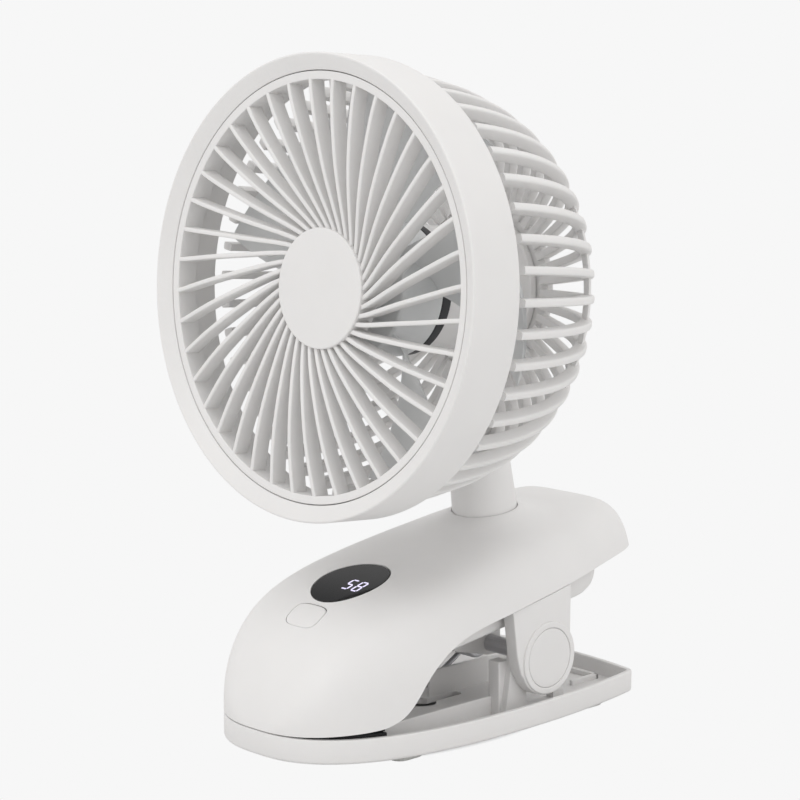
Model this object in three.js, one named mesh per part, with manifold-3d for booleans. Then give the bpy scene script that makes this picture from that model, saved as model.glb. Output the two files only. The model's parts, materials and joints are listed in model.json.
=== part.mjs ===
// Clip fan: a spring clip base, a swivelling and tilting neck, and a caged fan head.
// Millimetres, +Z up, the fan faces -Y, the feet rest on Z = 0.
import * as THREE from 'three';
import { mergeVertices } from 'three/addons/utils/BufferGeometryUtils.js';
import Module from 'manifold-3d';

const wasm = await Module();
wasm.setup();

// ---------- shared clearances and fine steps ----------
const gap = 0.3; // between pieces that touch or run on each other
const roundSteps = 28; // sides of a large round piece
const smallSteps = 16; // sides of a pin, screw or small boss
const ringSteps = 56; // sides of the fan's ring and grille rim
const degree = Math.PI / 180;
const faceTolerance = 0.03; // mm, slivers left by cuts are merged within this

// ---------- base plate (lower jaw) ----------
const plateUnderside = 2;
const plateNoseY = -73.8;
const plateRearY = 73.8;
const plateWidestY = 9.4;
const plateHalfWidth = 42.66;
const plateNosePower = 2.6; // superellipse exponent of the nose
const plateRearTaper = 0.00174; // per mm, the sides draw in behind the widest point
const plateRearBow = 342; // mm, the rear edge bows by x * x / bow
const plateCornerLength = 3;
const plateEdgeRound = 1;
const rimWall = 1.9;
const rimTopNose = 10.2;
const rimTopRear = 9.6;
const plateFloor = 2; // thickness of the floor
const plateRibWall = 1.6;
const rearRibHalf = 22; // a U of ribs at the rear
const rearRibFront = 54;
const rearRibBack = 67.6;
const rearRibHeight = 1.8;
const noseRibHeight = 2.4;
const noseRibY = -42.4;
const noseRibHalf = 34;
const keyholeY = 2;
const keyholeRadius = 5;
const keySlotHalf = 2.2;
const keySlotRear = 20;
const railTop = 10.2; // a rail runs forward from each pivot wall
const railWall = 1.6;
const guideWall = 1.2; // low wall beside the spring's lower leg
const guideTop = 13.2;
const guideFrontY = 8;
const guideRearY = 37;

// ---------- feet and pads ----------
const footHalfLength = 6;
const footRadius = 3.4;
const footRecess = 0.8;
const footFrontX = 31;
const footFrontY = -36;
const footRearX = 32;
const footRearY = 50;
const padFrontY = -65;
const padRearY = -46.5;
const lowerPadTop = 10.8;
const padInset = 2.6;
const upperPadInset = 3.4;

// ---------- clip pivot ----------
const pivotY = 24.9;
const pivotZ = 22.7;
const axleRadius = 3;
const axleHalfLength = 35.3;
const earInner = 29;
const earThickness = 3.1;
const earFrontY = 9.3;
const earRearY = 39;
const earRadius = 12;
const earPostWidth = 10.4;
const postInner = 24.5; // a lower post stands inside each pivot wall's front edge
const postFrontY = 8.9;
const postDepth = 5;
const postTop = 22.5;
const earWindowTop = 10.7;
const earWindowRear = 33;
const armInner = 32.4;
const armOuter = 37.3;
const armRearY = 35.8;
const armRearFoot = 30; // the rear edge meets the round end at this height
const armTop = 52;
const armFront = [[8, armTop], [7.6, 41.6], [9.7, 26], [11.6, 19.2]]; // front edge, y and z, downwards
const armEndRadius = 12.9;
const armBossHeight = 0.7; // the ring round the cap stands proud of the arm
const capRadius = 10.1;
const capThickness = 1.9;

// ---------- torsion spring ----------
const springWire = 0.9; // radius
const springRadius = 5.6;
const springTurns = 4;
const springPitch = 2.4;
const springHalfWidth = (springTurns * springPitch) / 2; // its legs stand this far to each side
const springLowerReach = 22; // how far the lower leg runs forward along the floor
const springLowerBend = 10;
const springLowerRise = 5.5;
const springUpperReach = 20;
const springUpperBend = 11;
const springUpperRise = 6.6;
const springStart = -65 * degree; // where the lower leg runs into the coil
const springEnd = 85 * degree; // and where the upper one leaves it, after the whole turns

// ---------- upper shell ----------
const shellBottom = 10.2; // height the dome is measured from
const shellTailY = 80;
const shellWall = 2;
const shellBlendY = 54.6; // the tail closes behind this
const noseBlendY = -10; // the nose closes in front of this
const draftFrontY = -20; // the sides draw in from here
const draftLength = 40;
const tailPlanPower = 7.2;
const tailTopPower = 8;
const nosePower = 4.775;
const noseRootPower = 1.3;
const domePower = 3.35; // section exponent in height
const domeSidePower = 4.78; // section exponent in width
const crownStart = 41.7; // crown line: start + rise * s + sag * s * s, s from nose to plate rear
const crownRise = 41.0;
const crownSag = -14.8;
const sideDraft = 2.6; // the dome's sides stand this far inside the plate behind y = 20
const shellEdge = [
  [-76, 10.5], [-61.9, 11.5], [-49.6, 12.7], [-44.1, 14.7], [-41, 16.9], [-37.6, 20.8], [-34.4, 25.2],
  [-30.7, 29.4], [-24.6, 34.2], [-18, 37.3], [-9.8, 39.4], [6.5, 41.8], [30.7, 45.3], [56.5, 49.4], [84, 53.2],
]; // lower edge seen from the side, y and z

// ---------- jaw housing (inner cover of the upper jaw) ----------
const housingHalfWidth = 30;
const housingWall = 2;
const housingFloor = 2.4;
const housingDepth = 12; // height of its side walls
const housingUnder = [
  [-67, 12.9], [-47.5, 12.9], [-45.5, 16.5], [-42, 22.5], [-37, 27.3], [-29, 29.3], [-13.8, 30.5], [9.8, 33.6],
  [45.1, 38], [49.6, 38.6], [53.3, 40.5], [57.8, 43.9], [60.5, 48.2],
]; // underside, y and z
const springWallInner = 8.4; // two walls hang from the tray on both sides of the spring
const springWallThickness = 1.6;
const springWallEdge = [[7, 22.8], [24.4, 18.3], [30, 18.3]]; // lower edge, y and z
const bridgeInner = 28.5;
const bridgeOuter = 33.4;
const bridgeFrontY = 13;
const bridgeRearY = 33;
const bridgeBottom = 36.4;
const bridgeTop = 46;

// ---------- display, button and electronics ----------
const displayY = -31.2;
const displayHalfWidth = 12.4;
const displayHalfLength = 14.1;
const displayThickness = 1.6;
const buttonY = -51;
const buttonHalfWidth = 7;
const buttonHalfLength = 5;
const buttonPower = 3.4;
const buttonTravel = 0.8;
const flangeReach = 0.4; // hidden lip under the shell
const flangeThickness = 1;
const boardThickness = 1.6;
const displayBoardHalfWidth = 15;
const displayBoardHalfLength = 8;
const digitBlock = 3.4; // height of the seven segment block
const digitBlockHalfWidth = 10;
const digitBlockHalfLength = 6;
const switchHeight = 2.4;
const switchHalfWidth = 3;
const buttonBoardHalfWidth = 9;
const buttonBoardHalfLength = 4.5;
const boardPostX = 6;
const boardPostWidth = 2.4;
const boardPostFrontY = -49.5;
const boardPostRearY = -46;
const batteryHalfWidth = 16;
const batteryLength = 48;
const batteryHeight = 11;
const batteryFrontY = -18;
const mainBoardLength = 14;
const mainBoardHalfWidth = 15;
const mainBoardFrontY = 31;
const socketHalfWidth = 4.5;
const socketHeight = 3.2;
const socketLength = 7;
const socketWall = 0.7;
const socketRearY = 57.6;
const socketZ = 44.6;
const screwX = 22.5;
const screwFrontY = -14;
const screwRearY = 42;
const screwShank = 1.3;
const screwHead = 2.6;
const screwHeadHeight = 1.6;
const screwLength = 9;
const screwBoss = 3.4;

// ---------- neck ----------
const neckY = 32.1;
const neckZ = 67.6; // centre of the seam where the neck leaves the shell
const neckLean = 9 * degree;
const neckRadius = 11.2;
const neckTopRadius = 10.5;
const neckBore = 4.2;
const neckCollarRise = 4.2; // the shell flares up to meet the neck
const neckCollarReach = 15.2;
const neckBossDepth = 9.4;
const neckBossWall = 2.6;
const retainerThickness = 1.4;
const retainerRadius = 14.8;
const neckGroove = 9.4;
const neckStub = 13.2;
const tiltHeight = 23.6; // pivot above the seam, along the neck
const forkRadius = 10;
const forkSlot = 5; // half width
const lugHalfWidth = 4.6;
const lugRadius = 8.8;
const tiltPinRadius = 2.2;
const tiltPinHead = 4.2;
const tiltSeat = neckTopRadius - 2.4; // the screw's head and the nut sit this far out
const saddleClearance = 1;
const saddleWall = 2.4;
const saddleHalfWidth = 13.6;

// ---------- fan head ----------
const headTilt = 4.97 * degree; // nose up at rest
const ringRadius = 75;
const ringWall = 2.5;
const ringInner = ringRadius - ringWall;
const ringDepth = 20;
const ringEdgeRound = 0.4;
const ringLipWidth = 5.6;
const ringLipRadius = ringRadius - ringLipWidth;
const ringLipDepth = 2.64;
const ringLipThickness = 2;
const grilleCollarWall = 3;
const grilleRim = ringLipRadius - grilleCollarWall;
const grilleCollarDepth = 10.5;
const grilleFlangeThickness = 2;
const vaneCount = 40;
const vanePhase = 3.14 * degree;
const vaneThickness = 1.5;
const vaneHeight = 6;
const vaneRoot = 0.8; // how far a slat runs into the collar and the hub
const vaneFall = [2.91, -5.49, 9.72]; // depth of its front edge, by powers of its share from rim to hub
const vaneTurn = [0, 0.0899, 0.4369, -0.7285, 0.706]; // its angle round the fan, likewise, in radians
const hubRadius = 19.5;
const hubDepth = 6;
const hubWall = 1.6;
const hubSkirt = 14;
const ribCount = 44;
const ribPhase = -1.5 * degree;
const ribWidth = 2.7;
const ribHeight = 4.3;
const cageCollarWall = 3.1;
const cageCollarInner = ringInner - cageCollarWall;
const cageCollarFront = 12;
const cageCollarRear = 21.5;
const cageSetback = 0.76; // the ribs' envelope inside the ring's inner wall
const cageRadius = ringInner - cageSetback;
const cageStart = 19.5;
const cageDepth = 64.45; // from cageStart to the back of the ribs
const cagePower = 1.88;
const cageRootPower = 5.87;
const cageDisc = 30.5;
const cageDiscThickness = 3.4;
const cageDiscRound = 0.6;
const ribStations = [0.008, 0.442, 0.69, 0.846, 0.942, 0.987]; // shares of the cage's depth
const hoopDepth = 73.6;
const hoopInset = 1.8;
const hoopWidth = 3.2;
const hoopThickness = 2.7;
const hoopSlope = 1; // the hoop's section leans with the shoulder
const tiltInset = 18.72; // the tilt pivot inside the cage's radius
const tiltSetback = 0.03; // and in front of its back
const lugWebReach = 14;
const lugWebFront = 12;
const lugWebRear = 4;
const pivotDown = -(cageRadius - tiltInset); // tilt pivot from the ring's centre, upwards
const pivotFront = -(cageStart + cageDepth - tiltSetback); // and forwards
const tiltY = neckY - Math.sin(neckLean) * tiltHeight;
const tiltZ = neckZ + Math.cos(neckLean) * tiltHeight;
const ringFrontY = tiltY - pivotDown * Math.sin(headTilt) + pivotFront * Math.cos(headTilt);
const ringCentreZ = tiltZ - pivotDown * Math.cos(headTilt) - pivotFront * Math.sin(headTilt);

// ---------- motor and impeller ----------
const motorRadius = 18.5;
const motorRim = 22.2; // the can's front flange
const motorRimDepth = 3.8;
const motorFront = 40.5;
const motorRear = 64;
const mountWall = 2;
const mountFlange = 26;
const mountFlangeThickness = 3;
const motorEdge = 1;
const shaftRadius = 1.5;
const shaftFront = 19.5;
const shaftInCan = 11;
const impellerFront = 22;
const impellerDepth = 18;
const impellerClearance = 2.4;
const impellerRadius = grilleRim - impellerClearance;
const impellerHub = 22.5;
const impellerHubWall = 1.8;
const bladeCount = 5;
const bladeThickness = 1.6;
const bladeBelly = 2.4; // the chord bows back by this
const bladeMargin = 1; // from the hub's ends to the blade's edges
const bladeTwist = 34 * degree;
const bladeSpan = 42 * degree;
const nutRadius = 4.4;
const nutThickness = 2.2;

// ---------- mesh helpers ----------

/** Signed volume of an indexed closed mesh. */
function signedVolume(positions, index) {
  let sum = 0;
  const corner = [new THREE.Vector3(), new THREE.Vector3(), new THREE.Vector3()];
  for (let i = 0; i < index.length; i += 3) {
    corner.forEach((v, k) => v.fromArray(positions, 3 * index[i + k]));
    sum += corner[0].dot(corner[1].clone().cross(corner[2]));
  }
  return sum / 6;
}

/** A closed geometry as a boolean solid, facing outward. */
function solid(geometry) {
  const plain = geometry.index ? geometry.toNonIndexed() : geometry.clone();
  for (const name of Object.keys(plain.attributes)) {
    if (name !== 'position') plain.deleteAttribute(name);
  }
  const merged = mergeVertices(plain, 1e-4);
  const positions = merged.attributes.position.array;
  const index = [];
  const source = merged.index.array;
  for (let i = 0; i < source.length; i += 3) {
    const [a, b, c] = [source[i], source[i + 1], source[i + 2]];
    if (a !== b && b !== c && c !== a) index.push(a, b, c);
  }
  if (signedVolume(positions, index) < 0) {
    for (let i = 0; i < index.length; i += 3) [index[i], index[i + 1]] = [index[i + 1], index[i]];
  }
  const mesh = new wasm.Mesh({
    numProp: 3,
    vertProperties: new Float32Array(positions),
    triVerts: new Uint32Array(index),
  });
  return new wasm.Manifold(mesh);
}

/** A boolean solid as a geometry with flat faces. */
function toGeometry(body) {
  const mesh = body.simplify(faceTolerance).getMesh();
  const geometry = new THREE.BufferGeometry();
  geometry.setAttribute('position', new THREE.BufferAttribute(new Float32Array(mesh.vertProperties), 3));
  geometry.setIndex(new THREE.BufferAttribute(new Uint32Array(mesh.triVerts), 1));
  const flat = geometry.toNonIndexed();
  flat.computeVertexNormals();
  return flat;
}

function union(bodies) {
  return bodies.reduce((whole, body) => whole.add(body));
}

/** Closed rings of equal length joined in order, with a fan over each end. */
function loft(rings) {
  const count = rings[0].length;
  const positions = rings.flat(2);
  const index = [];
  for (let r = 0; r < rings.length - 1; r++) {
    for (let i = 0; i < count; i++) {
      const a = r * count + i;
      const b = r * count + ((i + 1) % count);
      index.push(a, b, b + count, a, b + count, a + count);
    }
  }
  const ends = [rings[0], rings[rings.length - 1]];
  ends.forEach((ring, end) => {
    const centre = positions.length / 3;
    for (const axis of [0, 1, 2]) positions.push(ring.reduce((sum, p) => sum + p[axis], 0) / count);
    const base = end === 0 ? 0 : (rings.length - 1) * count;
    for (let i = 0; i < count; i++) {
      const a = base + i;
      const b = base + ((i + 1) % count);
      if (end === 0) index.push(b, a, centre);
      else index.push(a, b, centre);
    }
  });
  const geometry = new THREE.BufferGeometry();
  geometry.setAttribute('position', new THREE.Float32BufferAttribute(positions, 3));
  geometry.setIndex(index);
  return solid(geometry);
}

/** A profile of [radius, height] pairs turned about Z. */
function turned(profile, segments = roundSteps) {
  const points = profile.map(([r, z]) => new THREE.Vector2(r, z));
  const closed = profile[0][0] > 0 || profile[profile.length - 1][0] > 0;
  if (closed) points.push(points[0].clone());
  const geometry = new THREE.LatheGeometry(points, segments);
  geometry.rotateX(Math.PI / 2);
  return solid(geometry);
}

/** A disc about Z between two heights. */
function disc(radius, low, high, segments = smallSteps) {
  const geometry = new THREE.CylinderGeometry(radius, radius, high - low, segments);
  geometry.rotateX(Math.PI / 2);
  geometry.translate(0, 0, (low + high) / 2);
  return solid(geometry);
}

/** A cylinder along X, centred on a point of the Y-Z plane. */
function barX(radius, low, high, y, z, segments = smallSteps) {
  const geometry = new THREE.CylinderGeometry(radius, radius, high - low, segments);
  geometry.rotateZ(Math.PI / 2);
  geometry.translate((low + high) / 2, y, z);
  return solid(geometry);
}

function box(low, high) {
  const size = high.map((v, k) => v - low[k]);
  const geometry = new THREE.BoxGeometry(...size);
  geometry.translate(...high.map((v, k) => (v + low[k]) / 2));
  return solid(geometry);
}

/** An outline of [y, z] pairs swept along X. */
function sideProfile(outline, low, high) {
  const shape = new THREE.Shape(outline.map(([y, z]) => new THREE.Vector2(y, z)));
  const geometry = new THREE.ExtrudeGeometry(shape, { depth: high - low, bevelEnabled: false });
  const axes = new THREE.Matrix4().makeBasis(
    new THREE.Vector3(0, 1, 0),
    new THREE.Vector3(0, 0, 1),
    new THREE.Vector3(1, 0, 0),
  );
  geometry.applyMatrix4(axes);
  geometry.translate(low, 0, 0);
  return solid(geometry);
}

/** An outline of [x, y] pairs raised along Z. */
function plan(outline, low, high) {
  const shape = new THREE.Shape(outline.map(([x, y]) => new THREE.Vector2(x, y)));
  const geometry = new THREE.ExtrudeGeometry(shape, { depth: high - low, bevelEnabled: false });
  geometry.translate(0, 0, low);
  return solid(geometry);
}

/** Points of a superellipse outline about the origin. */
function superellipse(halfWidth, halfLength, power, steps = roundSteps) {
  const points = [];
  for (let i = 0; i < steps; i++) {
    const a = (i / steps) * 2 * Math.PI;
    const bend = (v) => Math.sign(v) * Math.abs(v) ** (2 / power);
    points.push([halfWidth * bend(Math.cos(a)), halfLength * bend(Math.sin(a))]);
  }
  return points;
}

/** Arc points [y, z] about a centre, angles in degrees from +Y towards +Z. */
function arc(centreY, centreZ, radius, from, to, steps) {
  const points = [];
  for (let i = 0; i <= steps; i++) {
    const a = (from + ((to - from) * i) / steps) * degree;
    points.push([centreY + radius * Math.cos(a), centreZ + radius * Math.sin(a)]);
  }
  return points;
}

const clamp01 = (v) => Math.min(1, Math.max(0, v));
const mirrorX = (body) => body.mirror([1, 0, 0]);
const turnX = (body, angle) => body.rotate([angle / degree, 0, 0]);

// ---------- base plate ----------

function plateHalf(y) {
  const reach = clamp01((plateWidestY - y) / (plateWidestY - plateNoseY));
  if (y < plateWidestY) return plateHalfWidth * (1 - reach ** plateNosePower) ** (1 / plateNosePower);
  return plateHalfWidth - plateRearTaper * (y - plateWidestY) ** 2;
}

/** Right half of the plate's plan from the nose round to the rear middle. */
function plateHalfOutline() {
  const points = [];
  const noseSteps = 12;
  for (let i = 0; i <= noseSteps; i++) {
    const a = (1 - i / noseSteps) * (Math.PI / 2);
    const y = plateWidestY - (plateWidestY - plateNoseY) * Math.sin(a) ** (2 / plateNosePower);
    points.push([plateHalfWidth * Math.cos(a) ** (2 / plateNosePower), y]);
  }
  const rearEdge = (x) => plateRearY - (x * x) / plateRearBow;
  let cornerX = plateHalf(plateRearY);
  for (let i = 0; i < 4; i++) cornerX = plateHalf(rearEdge(cornerX));
  const cornerY = rearEdge(cornerX);
  const sideSteps = 5;
  const sideEnd = cornerY - plateCornerLength;
  for (let i = 1; i <= sideSteps; i++) {
    const y = plateWidestY + ((sideEnd - plateWidestY) * i) / sideSteps;
    points.push([plateHalf(y), y]);
  }
  const corner = new THREE.QuadraticBezierCurve(
    new THREE.Vector2(plateHalf(sideEnd), sideEnd),
    new THREE.Vector2(cornerX, cornerY),
    new THREE.Vector2(cornerX - plateCornerLength, rearEdge(cornerX - plateCornerLength)),
  );
  for (const p of corner.getPoints(4).slice(1)) points.push([p.x, p.y]);
  points.push([cornerX / 2, rearEdge(cornerX / 2)], [0, plateRearY]);
  return points;
}

/** Whole plan outline, moved inward by inset. */
function plateOutline(inset = 0) {
  const right = plateHalfOutline();
  const left = right.slice(1, -1).reverse().map(([x, y]) => [-x, y]);
  const loop = [...right, ...left];
  return loop.map(([x, y], i) => {
    const before = loop[(i + loop.length - 1) % loop.length];
    const after = loop[(i + 1) % loop.length];
    const along = [after[0] - before[0], after[1] - before[1]];
    const length = Math.hypot(...along);
    return [x - (inset * along[1]) / length, y + (inset * along[0]) / length];
  });
}

function rimTop(y) {
  return rimTopNose + ((rimTopRear - rimTopNose) * (y - plateNoseY)) / (plateRearY - plateNoseY);
}

const plateFloorTop = plateUnderside + plateFloor;

function footPlan(grow) {
  const points = [];
  for (const end of [1, -1]) {
    for (let i = 0; i <= 8; i++) {
      const a = (i / 8) * Math.PI + (end > 0 ? 0 : Math.PI);
      const r = footRadius + grow;
      points.push([r * Math.cos(a), end * (footHalfLength - footRadius) + r * Math.sin(a)]);
    }
  }
  return points;
}

const footPlaces = [
  ['foot_front_left', -footFrontX, footFrontY],
  ['foot_front_right', footFrontX, footFrontY],
  ['foot_rear_left', -footRearX, footRearY],
  ['foot_rear_right', footRearX, footRearY],
];

function makeFoot() {
  return plan(footPlan(0), 0, plateUnderside + footRecess - gap);
}

/** One of the two walls that carry the axle. */
function makeEar() {
  const outline = [
    [earRearY, plateFloorTop - 1],
    ...arc(pivotY, pivotZ, earRadius, -25, 175, 12),
    [earFrontY, plateFloorTop - 1],
  ];
  const wall = sideProfile(outline, earInner, earInner + earThickness);
  const windowFront = earFrontY + earPostWidth;
  const window = box(
    [earInner - 1, windowFront, plateFloorTop + 2],
    [earInner + earThickness + 1, earWindowRear, earWindowTop],
  );
  const bore = barX(axleRadius + gap, earInner - 1, earInner + earThickness + 1, pivotY, pivotZ);
  return wall.subtract(window).subtract(bore);
}

function makeBasePlate() {
  const ring = (inset, height) => plateOutline(inset).map(([x, y]) => [x, y, height(y)]);
  const dish = loft([
    ring(plateEdgeRound, () => plateUnderside),
    ring(0, () => plateUnderside + plateEdgeRound),
    ring(0, rimTop),
    ring(rimWall, rimTop),
    ring(rimWall, () => plateFloorTop),
  ]);
  const ear = makeEar();
  const rib = (left, right, front, back, height) => {
    return box([left, front, plateFloorTop - 1], [right, back, plateFloorTop + height]);
  };
  const sideRib = rib(rearRibHalf - plateRibWall, rearRibHalf, rearRibFront, rearRibBack, rearRibHeight);
  const ribs = [
    sideRib,
    mirrorX(sideRib),
    rib(-rearRibHalf, rearRibHalf, rearRibBack - plateRibWall, rearRibBack, rearRibHeight),
    rib(-noseRibHalf, noseRibHalf, noseRibY, noseRibY + plateRibWall, noseRibHeight),
  ];
  const rail = rib(postInner, postInner + railWall, noseRibY, postFrontY + 1, railTop - plateFloorTop);
  const post = rib(postInner, earInner + 1, postFrontY, postFrontY + postDepth, postTop - plateFloorTop);
  const walls = [ear, rail, post];
  const guideX = -springHalfWidth + springWire + gap;
  const guide = rib(guideX, guideX + guideWall, guideFrontY, guideRearY, guideTop - plateFloorTop);
  let plate = union([dish, ...walls, ...walls.map(mirrorX), ...ribs, guide]);
  const above = plateFloorTop + 4;
  const keyhole = disc(keyholeRadius, 0, above, 24).translate([0, keyholeY, 0]);
  const keySlot = box([-keySlotHalf, keyholeY, 0], [keySlotHalf, keySlotRear, above]);
  plate = plate.subtract(keyhole).subtract(keySlot);
  for (const [, x, y] of footPlaces) {
    const recess = plan(footPlan(gap), plateUnderside - 1, plateUnderside + footRecess);
    plate = plate.subtract(recess.translate([x, y, 0]));
  }
  return plate;
}

/** A slab in the nose of the plate, inset from its outline. */
function padSlab(inset, low, high) {
  const slab = plan(plateOutline(inset), low, high);
  return slab.intersect(box([-plateHalfWidth, padFrontY, low], [plateHalfWidth, padRearY, high]));
}

function makeLowerPad() {
  return padSlab(padInset, plateFloorTop + gap, lowerPadTop);
}

const upperPadBottom = lowerPadTop + gap;

function makeUpperPad() {
  return padSlab(upperPadInset, upperPadBottom, housingUnder[0][1] - gap);
}

function makeAxle() {
  return barX(axleRadius, -axleHalfLength, axleHalfLength, pivotY, pivotZ);
}

/** The clip's torsion spring: a coil round the axle with a leg on each jaw. */
function makeSpring() {
  const halfWidth = springHalfWidth;
  const points = [];
  const stepsPerTurn = 12;
  const sweep = springTurns * 2 * Math.PI + springEnd - springStart;
  const footZ = plateFloorTop + gap + springWire;
  points.push(new THREE.Vector3(-halfWidth, pivotY - springLowerReach, footZ));
  points.push(new THREE.Vector3(-halfWidth, pivotY - springLowerBend, footZ + springLowerRise));
  const steps = Math.round((sweep / (2 * Math.PI)) * stepsPerTurn);
  for (let i = 0; i <= steps; i++) {
    const a = springStart + (i / steps) * sweep;
    const x = -halfWidth + (i / steps) * 2 * halfWidth;
    points.push(new THREE.Vector3(x, pivotY + springRadius * Math.cos(a), pivotZ + springRadius * Math.sin(a)));
  }
  const endY = pivotY - springUpperReach;
  points.push(new THREE.Vector3(halfWidth, pivotY - springUpperBend, pivotZ + springUpperRise));
  points.push(new THREE.Vector3(halfWidth, endY, housingUnderside(endY) - gap - springWire));
  const wire = new THREE.Shape();
  wire.absarc(0, 0, springWire, 0, 2 * Math.PI);
  const path = new THREE.CatmullRomCurve3(points, false, 'centripetal');
  const options = { steps: 76, extrudePath: path, curveSegments: 3, bevelEnabled: false };
  return solid(new THREE.ExtrudeGeometry(wire, options));
}

// ---------- upper shell ----------

function crown(y) {
  const s = (y - plateNoseY) / (plateRearY - plateNoseY);
  let height = crownStart + crownRise * s + crownSag * s * s - shellBottom;
  const nose = clamp01((noseBlendY - y) / (noseBlendY - plateNoseY));
  height *= (1 - nose ** nosePower) ** (1 / noseRootPower);
  const tail = clamp01((y - shellBlendY) / (shellTailY - shellBlendY));
  return shellBottom + height * (1 - tail ** tailTopPower) ** (1 / tailTopPower);
}

function shellHalf(y) {
  const tail = clamp01((y - shellBlendY) / (shellTailY - shellBlendY));
  const straight = plateHalf(y) - sideDraft * clamp01((y - draftFrontY) / draftLength);
  return straight * (1 - tail ** tailPlanPower) ** (1 / tailPlanPower);
}

/** The dome as a closed solid, moved inward by inset. */
function makeDome(inset, stations, sides) {
  const rings = [];
  const noseY = plateNoseY + inset;
  const tailY = shellTailY - inset;
  for (let i = 0; i <= stations; i++) {
    const share = (1 - Math.cos((i / stations) * Math.PI)) / 2;
    const place = plateNoseY + (shellTailY - plateNoseY) * (0.0002 + 0.9996 * share);
    const y = noseY + ((tailY - noseY) * (place - plateNoseY)) / (shellTailY - plateNoseY);
    const half = Math.max(shellHalf(place) - inset, 0.02);
    const rise = Math.max(crown(place) - inset - shellBottom, 0.02);
    const ring = [];
    for (let k = 0; k <= sides; k++) {
      const a = (k / sides) * Math.PI;
      const up = Math.sin(a);
      const out = (1 - up ** domePower) ** (1 / domeSidePower);
      const side = k * 2 < sides ? 1 : -1;
      ring.push([side * half * out, y, shellBottom + rise * up]);
    }
    const skirt = shellBottom - (inset > 0 ? 2 : 0);
    if (inset > 0) ring.push([-half, y, skirt], [half, y, skirt]);
    rings.push(ring);
  }
  return loft(rings);
}

const outerDome = makeDome(0, 28, 16);
const innerDome = makeDome(shellWall, 18, 12);
const coverDome = makeDome(shellWall + gap, 18, 12);

/** Everything above the shell's lower edge. */
function aboveShellEdge(lift) {
  const curve = new THREE.SplineCurve(shellEdge.map(([y, z]) => new THREE.Vector2(y, z + lift)));
  const edge = curve.getPoints(24).map((p) => [p.x, p.y]);
  const above = 2 * crownStart;
  const ends = [[shellEdge[shellEdge.length - 1][0], above], [shellEdge[0][0], above]];
  return sideProfile([...edge, ...ends], -2 * plateHalfWidth, 2 * plateHalfWidth);
}

const crownSlope = (y) => Math.atan2(crown(y + 0.5) - crown(y - 0.5), 1);

/** Moves a solid made about Z to a place on the crown line, square to it. */
function onCrown(body, y) {
  return turnX(body, crownSlope(y)).translate([0, y, crown(y)]);
}

function onNeck(body) {
  return turnX(body, neckLean).translate([0, neckY, neckZ]);
}

/** The shell's flare and inner guide round the neck, about the neck's axis. */
function makeCollar() {
  const inner = neckRadius + gap;
  const profile = [[inner - 1, 0]];
  const steps = 7;
  for (let i = 0; i <= steps; i++) {
    const share = i / steps;
    profile.push([inner + 0.3 + neckCollarReach * share, -neckCollarRise * (1 - (1 - share) ** 2)]);
  }
  profile.push([inner + 0.3 + neckCollarReach, -neckCollarRise - 1.6], [inner - 1, -neckCollarRise - 1.6]);
  return onNeck(turned(profile));
}

function makeUpperShell() {
  const guide = turned([
    [neckRadius - 1, -neckBossDepth], [neckRadius + gap + neckBossWall, -neckBossDepth],
    [neckRadius + gap + neckBossWall, -neckCollarRise - 1], [neckRadius - 1, -neckCollarRise - 1],
  ]);
  let shell = outerDome.add(makeCollar());
  shell = shell.subtract(innerDome).intersect(aboveShellEdge(0));
  shell = shell.add(onNeck(guide));
  for (const [x, y] of screwPlaces) {
    const top = crown(y) - shellWall - 0.6;
    const boss = disc(screwBoss, housingFloorTop(y) + gap + 0.2, top).translate([x, y, 0]);
    shell = shell.add(boss.intersect(outerDome));
    const bore = disc(screwShank + gap, housingUnderside(y) - 1, housingUnderside(y) + screwLength + 2);
    shell = shell.subtract(bore.translate([x, y, 0]));
  }
  shell = shell.subtract(onNeck(disc(neckRadius + gap, -20, 10, roundSteps)));
  const opening = plan(superellipse(displayHalfWidth + gap, displayHalfLength + gap, 2), -12, 8);
  shell = shell.subtract(onCrown(opening, displayY));
  const hole = superellipse(buttonHalfWidth + gap, buttonHalfLength + gap, buttonPower);
  return shell.subtract(onCrown(plan(hole, -8, 8), buttonY));
}

// ---------- jaw housing ----------

function housingUnderside(y) {
  for (let i = 1; i < housingUnder.length; i++) {
    const [y0, z0] = housingUnder[i - 1];
    const [y1, z1] = housingUnder[i];
    if (y <= y1) return z0 + ((z1 - z0) * (y - y0)) / (y1 - y0);
  }
  return housingUnder[housingUnder.length - 1][1];
}

const housingFloorTop = (y) => housingUnderside(y) + housingFloor;

const screwPlaces = [
  [screwX, screwFrontY], [-screwX, screwFrontY], [screwX, screwRearY], [-screwX, screwRearY],
];

function makeArm() {
  const outline = [
    [armRearY, armTop], ...armFront, ...arc(pivotY, pivotZ, armEndRadius, 205, 330, 9), [armRearY, armRearFoot],
  ];
  const armCore = sideProfile(outline, armInner, armOuter).subtract(aboveShellEdge(-gap));
  const boss = barX(armEndRadius, armOuter - 1, armOuter + armBossHeight, pivotY, pivotZ, roundSteps);
  const bridge = box([bridgeInner, bridgeFrontY, bridgeBottom], [bridgeOuter, bridgeRearY, bridgeTop]);
  const face = armOuter + armBossHeight;
  const seat = barX(capRadius + gap, face - capThickness - gap, face + 1, pivotY, pivotZ, roundSteps);
  const bore = barX(axleRadius + gap, armInner - 1, face, pivotY, pivotZ);
  return union([armCore, boss, bridge]).subtract(seat).subtract(bore);
}

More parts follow.
